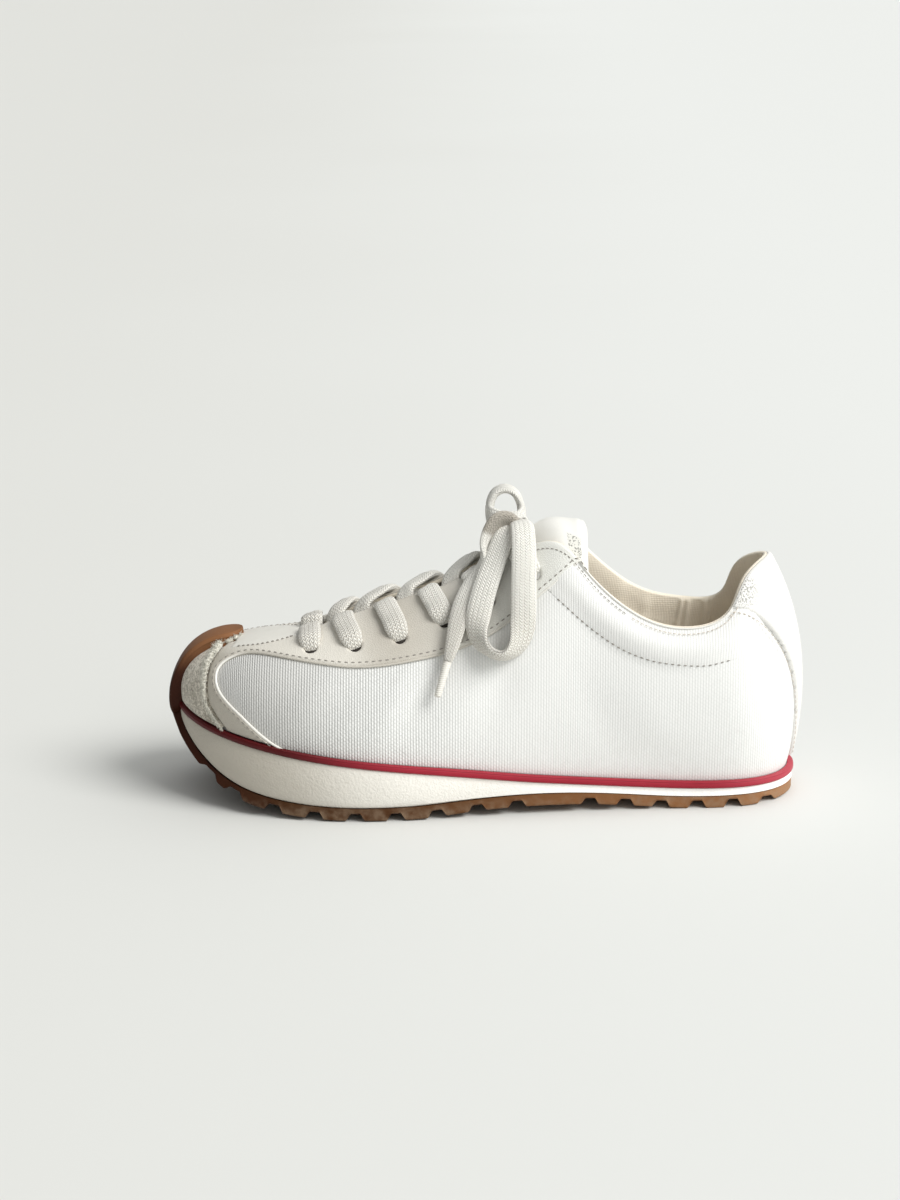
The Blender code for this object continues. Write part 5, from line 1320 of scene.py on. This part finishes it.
def stitches(name, rows, finish, pitch, length, radius):
    """Rows of sewn stitches as one piece: each a short thread that dips in at both ends."""
    shape = ((-0.5, -1.1, 0.5), (-0.34, 0.0, 0.95), (0.0, 0.45, 1.05), (0.34, 0.0, 0.95), (0.5, -1.1, 0.5))
    points, faces = [], []
    for centres, normals in rows:
        line = resampled(centres, 0.25, normals)
        run = run_of(line[:, :3])
        for middle in np.arange(pitch, run[-1] - 0.5 * pitch, pitch):
            here = np.array([np.interp(middle, run, line[:, k]) for k in range(6)])
            ahead = np.array([np.interp(middle + 0.3, run, line[:, k]) for k in range(3)])
            along, out = unit(ahead - here[:3]), unit(here[3:])
            side = unit(np.cross(along, out))
            first = len(points)
            for share, rise, scale in shape:
                centre = here[:3] + along * share * length + out * rise * radius
                for angle in np.arange(6) * np.pi / 3:
                    way = np.cos(angle) * side + np.sin(angle) * out * 0.8
                    points.append(centre + radius * scale * way)
            faces += shifted(tube_faces(5, 6), first)
    return new_piece(name, points, faces, finish)


def thread(name, dark, light):
    """The finish of a fine sewing thread."""
    finish, place, _, shader = new_finish(name, 0.8)
    attach(shader, Base_Color=place.noise(1500.0).blend(dark, light),
           Normal=place.noise(2500.0).relief(0.00008, 0.8))
    return finish


piping, place, _, shader = new_finish("piping", 0.5)
x, _, high = place.xyz()
toned = ((x + 0.5 * (0.060 - high)).between(0.108, 0.094)
         * (x + 0.01 * place.noise(90.0)).between(-0.01, 0.02))
cream = place.noise(400.0, 4.0).blend((0.74, 0.715, 0.66), (0.88, 0.865, 0.82))
attach(shader, Base_Color=(toned * high.between(0.052, 0.056)).blend(cream, (0.60, 0.565, 0.50)),
       Normal=place.noise(900.0, 3.0).relief(0.00012, 0.8))
dark_thread = thread("dark_thread", (0.20, 0.18, 0.16), (0.40, 0.375, 0.34))
pale_thread = thread("pale_thread", (0.55, 0.48, 0.41), (0.74, 0.68, 0.61))
for side, label in ((1, "outer"), (-1, "inner")):
    centres, _ = trail(side, facing_line, steady(0.15), 0.75, 0.03, 0.93)
    radius = np.interp(centres[:, 0], (-30.0, 20.0, 60.0, 98.0, 106.0), (0.34, 0.5, 0.38, 0.42, 0.6))
    radius = np.maximum(radius, 0.6 * (centres[:, 2] < 55.0))
    even_cord(f"guard_piping_{label}", centres, radius, piping)

# The cap's raw rear edge: a ragged roll of loosened fibres, and single fibres that stand out of it.
FIBRES = 3400              # on each side
fray, place, _, shader = new_finish("frayed_fibre", 0.95, Sheen_Weight=0.4)
attach(shader, Base_Color=place.noise(1400.0, 4.0).blend((0.66, 0.63, 0.54), (0.90, 0.885, 0.80)),
       Normal=place.noise(2200.0, 3.0).relief(0.0003, 0.9))
chance = np.random.default_rng(5)
for side, label in ((1, "outer"), (-1, "inner")):
    centres, out = trail(side, cap_line, steady(-1.0), CAP_THICK + 0.1, 0.16, 0.76)
    line = resampled(centres, 0.45, out)
    share = np.linspace(0.0, 1.0, len(line))
    full = np.interp(share, (0.0, 0.2, 0.45, 0.65, 0.85, 1.0), (0.3, 0.6, 1.35, 1.25, 1.0, 0.5))
    ragged = full * (0.85 + 0.30 * chance.random(len(line)))
    lumps = 0.70 + 0.55 * chance.random((len(line), 8))
    line[:, :3] += (0.35 * (chance.random((len(line), 3)) - 0.5)) * full[:, None]
    cord_along(f"fray_roll_{label}", line[:, :3], ragged[:, None] * lumps, fray)
    points, faces = [], []
    along = unit(np.gradient(line[:, :3], axis=0))
    for _ in range(FIBRES):
        k = chance.integers(1, len(line) - 1)
        rise, across = unit(line[k, 3:]), unit(np.cross(along[k], line[k, 3:]))
        turn = chance.random() * 2.0 * np.pi
        root = line[k, :3] + full[k] * 0.8 * (np.cos(turn) * across + 0.7 * abs(np.sin(turn)) * rise)
        sideways = along[k] * (chance.random() - 0.5) * 1.6
        way = unit(across * np.cos(turn) + rise * (0.3 + abs(np.sin(turn))) + sideways)
        bend = unit(chance.random(3) - 0.5)
        length, first = (0.6 + 1.1 * chance.random()) * full[k] ** 0.5, len(points)
        one = unit(np.cross(way, bend))
        other = unit(np.cross(way, one))
        for step, thin in ((0.0, 0.075), (0.5, 0.06), (1.0, 0.02)):
            middle = root + way * length * step + bend * 0.35 * length * step ** 2
            for angle in np.arange(3) * 2.0 * np.pi / 3:
                points.append(middle + thin * (np.cos(angle) * one + np.sin(angle) * other))
        faces += shifted(tube_faces(3, 3), first)
    new_piece(f"fray_fibres_{label}", points, faces, fray)


def both_sides(*seam):
    """The trails of a seam on the two sides of the shoe."""
    return [trail(side, *seam) for side in (1, -1)]


nearing = both_sides(facing_line, lambda x: np.interp(x, (46.0, 74.0), (2.0, 1.1)), GUARD_THICK + 0.05,
                     0.03, 0.90)
stitches("guard_stitches", nearing, dark_thread, pitch=2.8, length=1.7, radius=0.24)
stitches("collar_stitches", both_sides(collar_line, steady(0.0), 0.12, 0.02, 0.92), dark_thread,
         pitch=2.6, length=1.5, radius=0.24)
stitches("counter_stitches", both_sides(counter_line, steady(1.5), COUNTER_THICK, 0.0, 0.9), pale_thread,
         pitch=2.4, length=1.5, radius=0.2)

# Round the opening: a thin cord along its edge, and just below it a row of small stitches.
around = np.concatenate([np.linspace(0.205, 0.0, 150), np.linspace(1.0, 0.795, 150)[1:]])
edge = wall_at(around, np.full(len(around), 0.995), 0.5)
even_cord("opening_piping", edge, 0.38, piping)
for finish, label, low, high in ((dark_thread, "dark", 0.150, 0.235), (pale_thread, "pale", 0.004, 0.150)):
    rows = []
    reach = np.linspace(high, low, 120)
    for part in (reach, 1.0 - reach):
        level = np.full(len(part), 0.962)
        lift = 1.3 if label == "pale" else np.where((part > 0.175) & (part < 0.825), 1.55, 1.25)
        rows.append((wall_at(part, level, lift), slopes_at(part, level)[2]))
    stitches(f"opening_stitches_{label}", rows, finish, pitch=2.0, length=1.45, radius=0.18)
stitches("vamp_stitches", both_sides(strip_line, steady(0.0), 1.6, 0.05, 0.97, 0.4), dark_thread,
         pitch=2.1, length=1.3, radius=0.32)
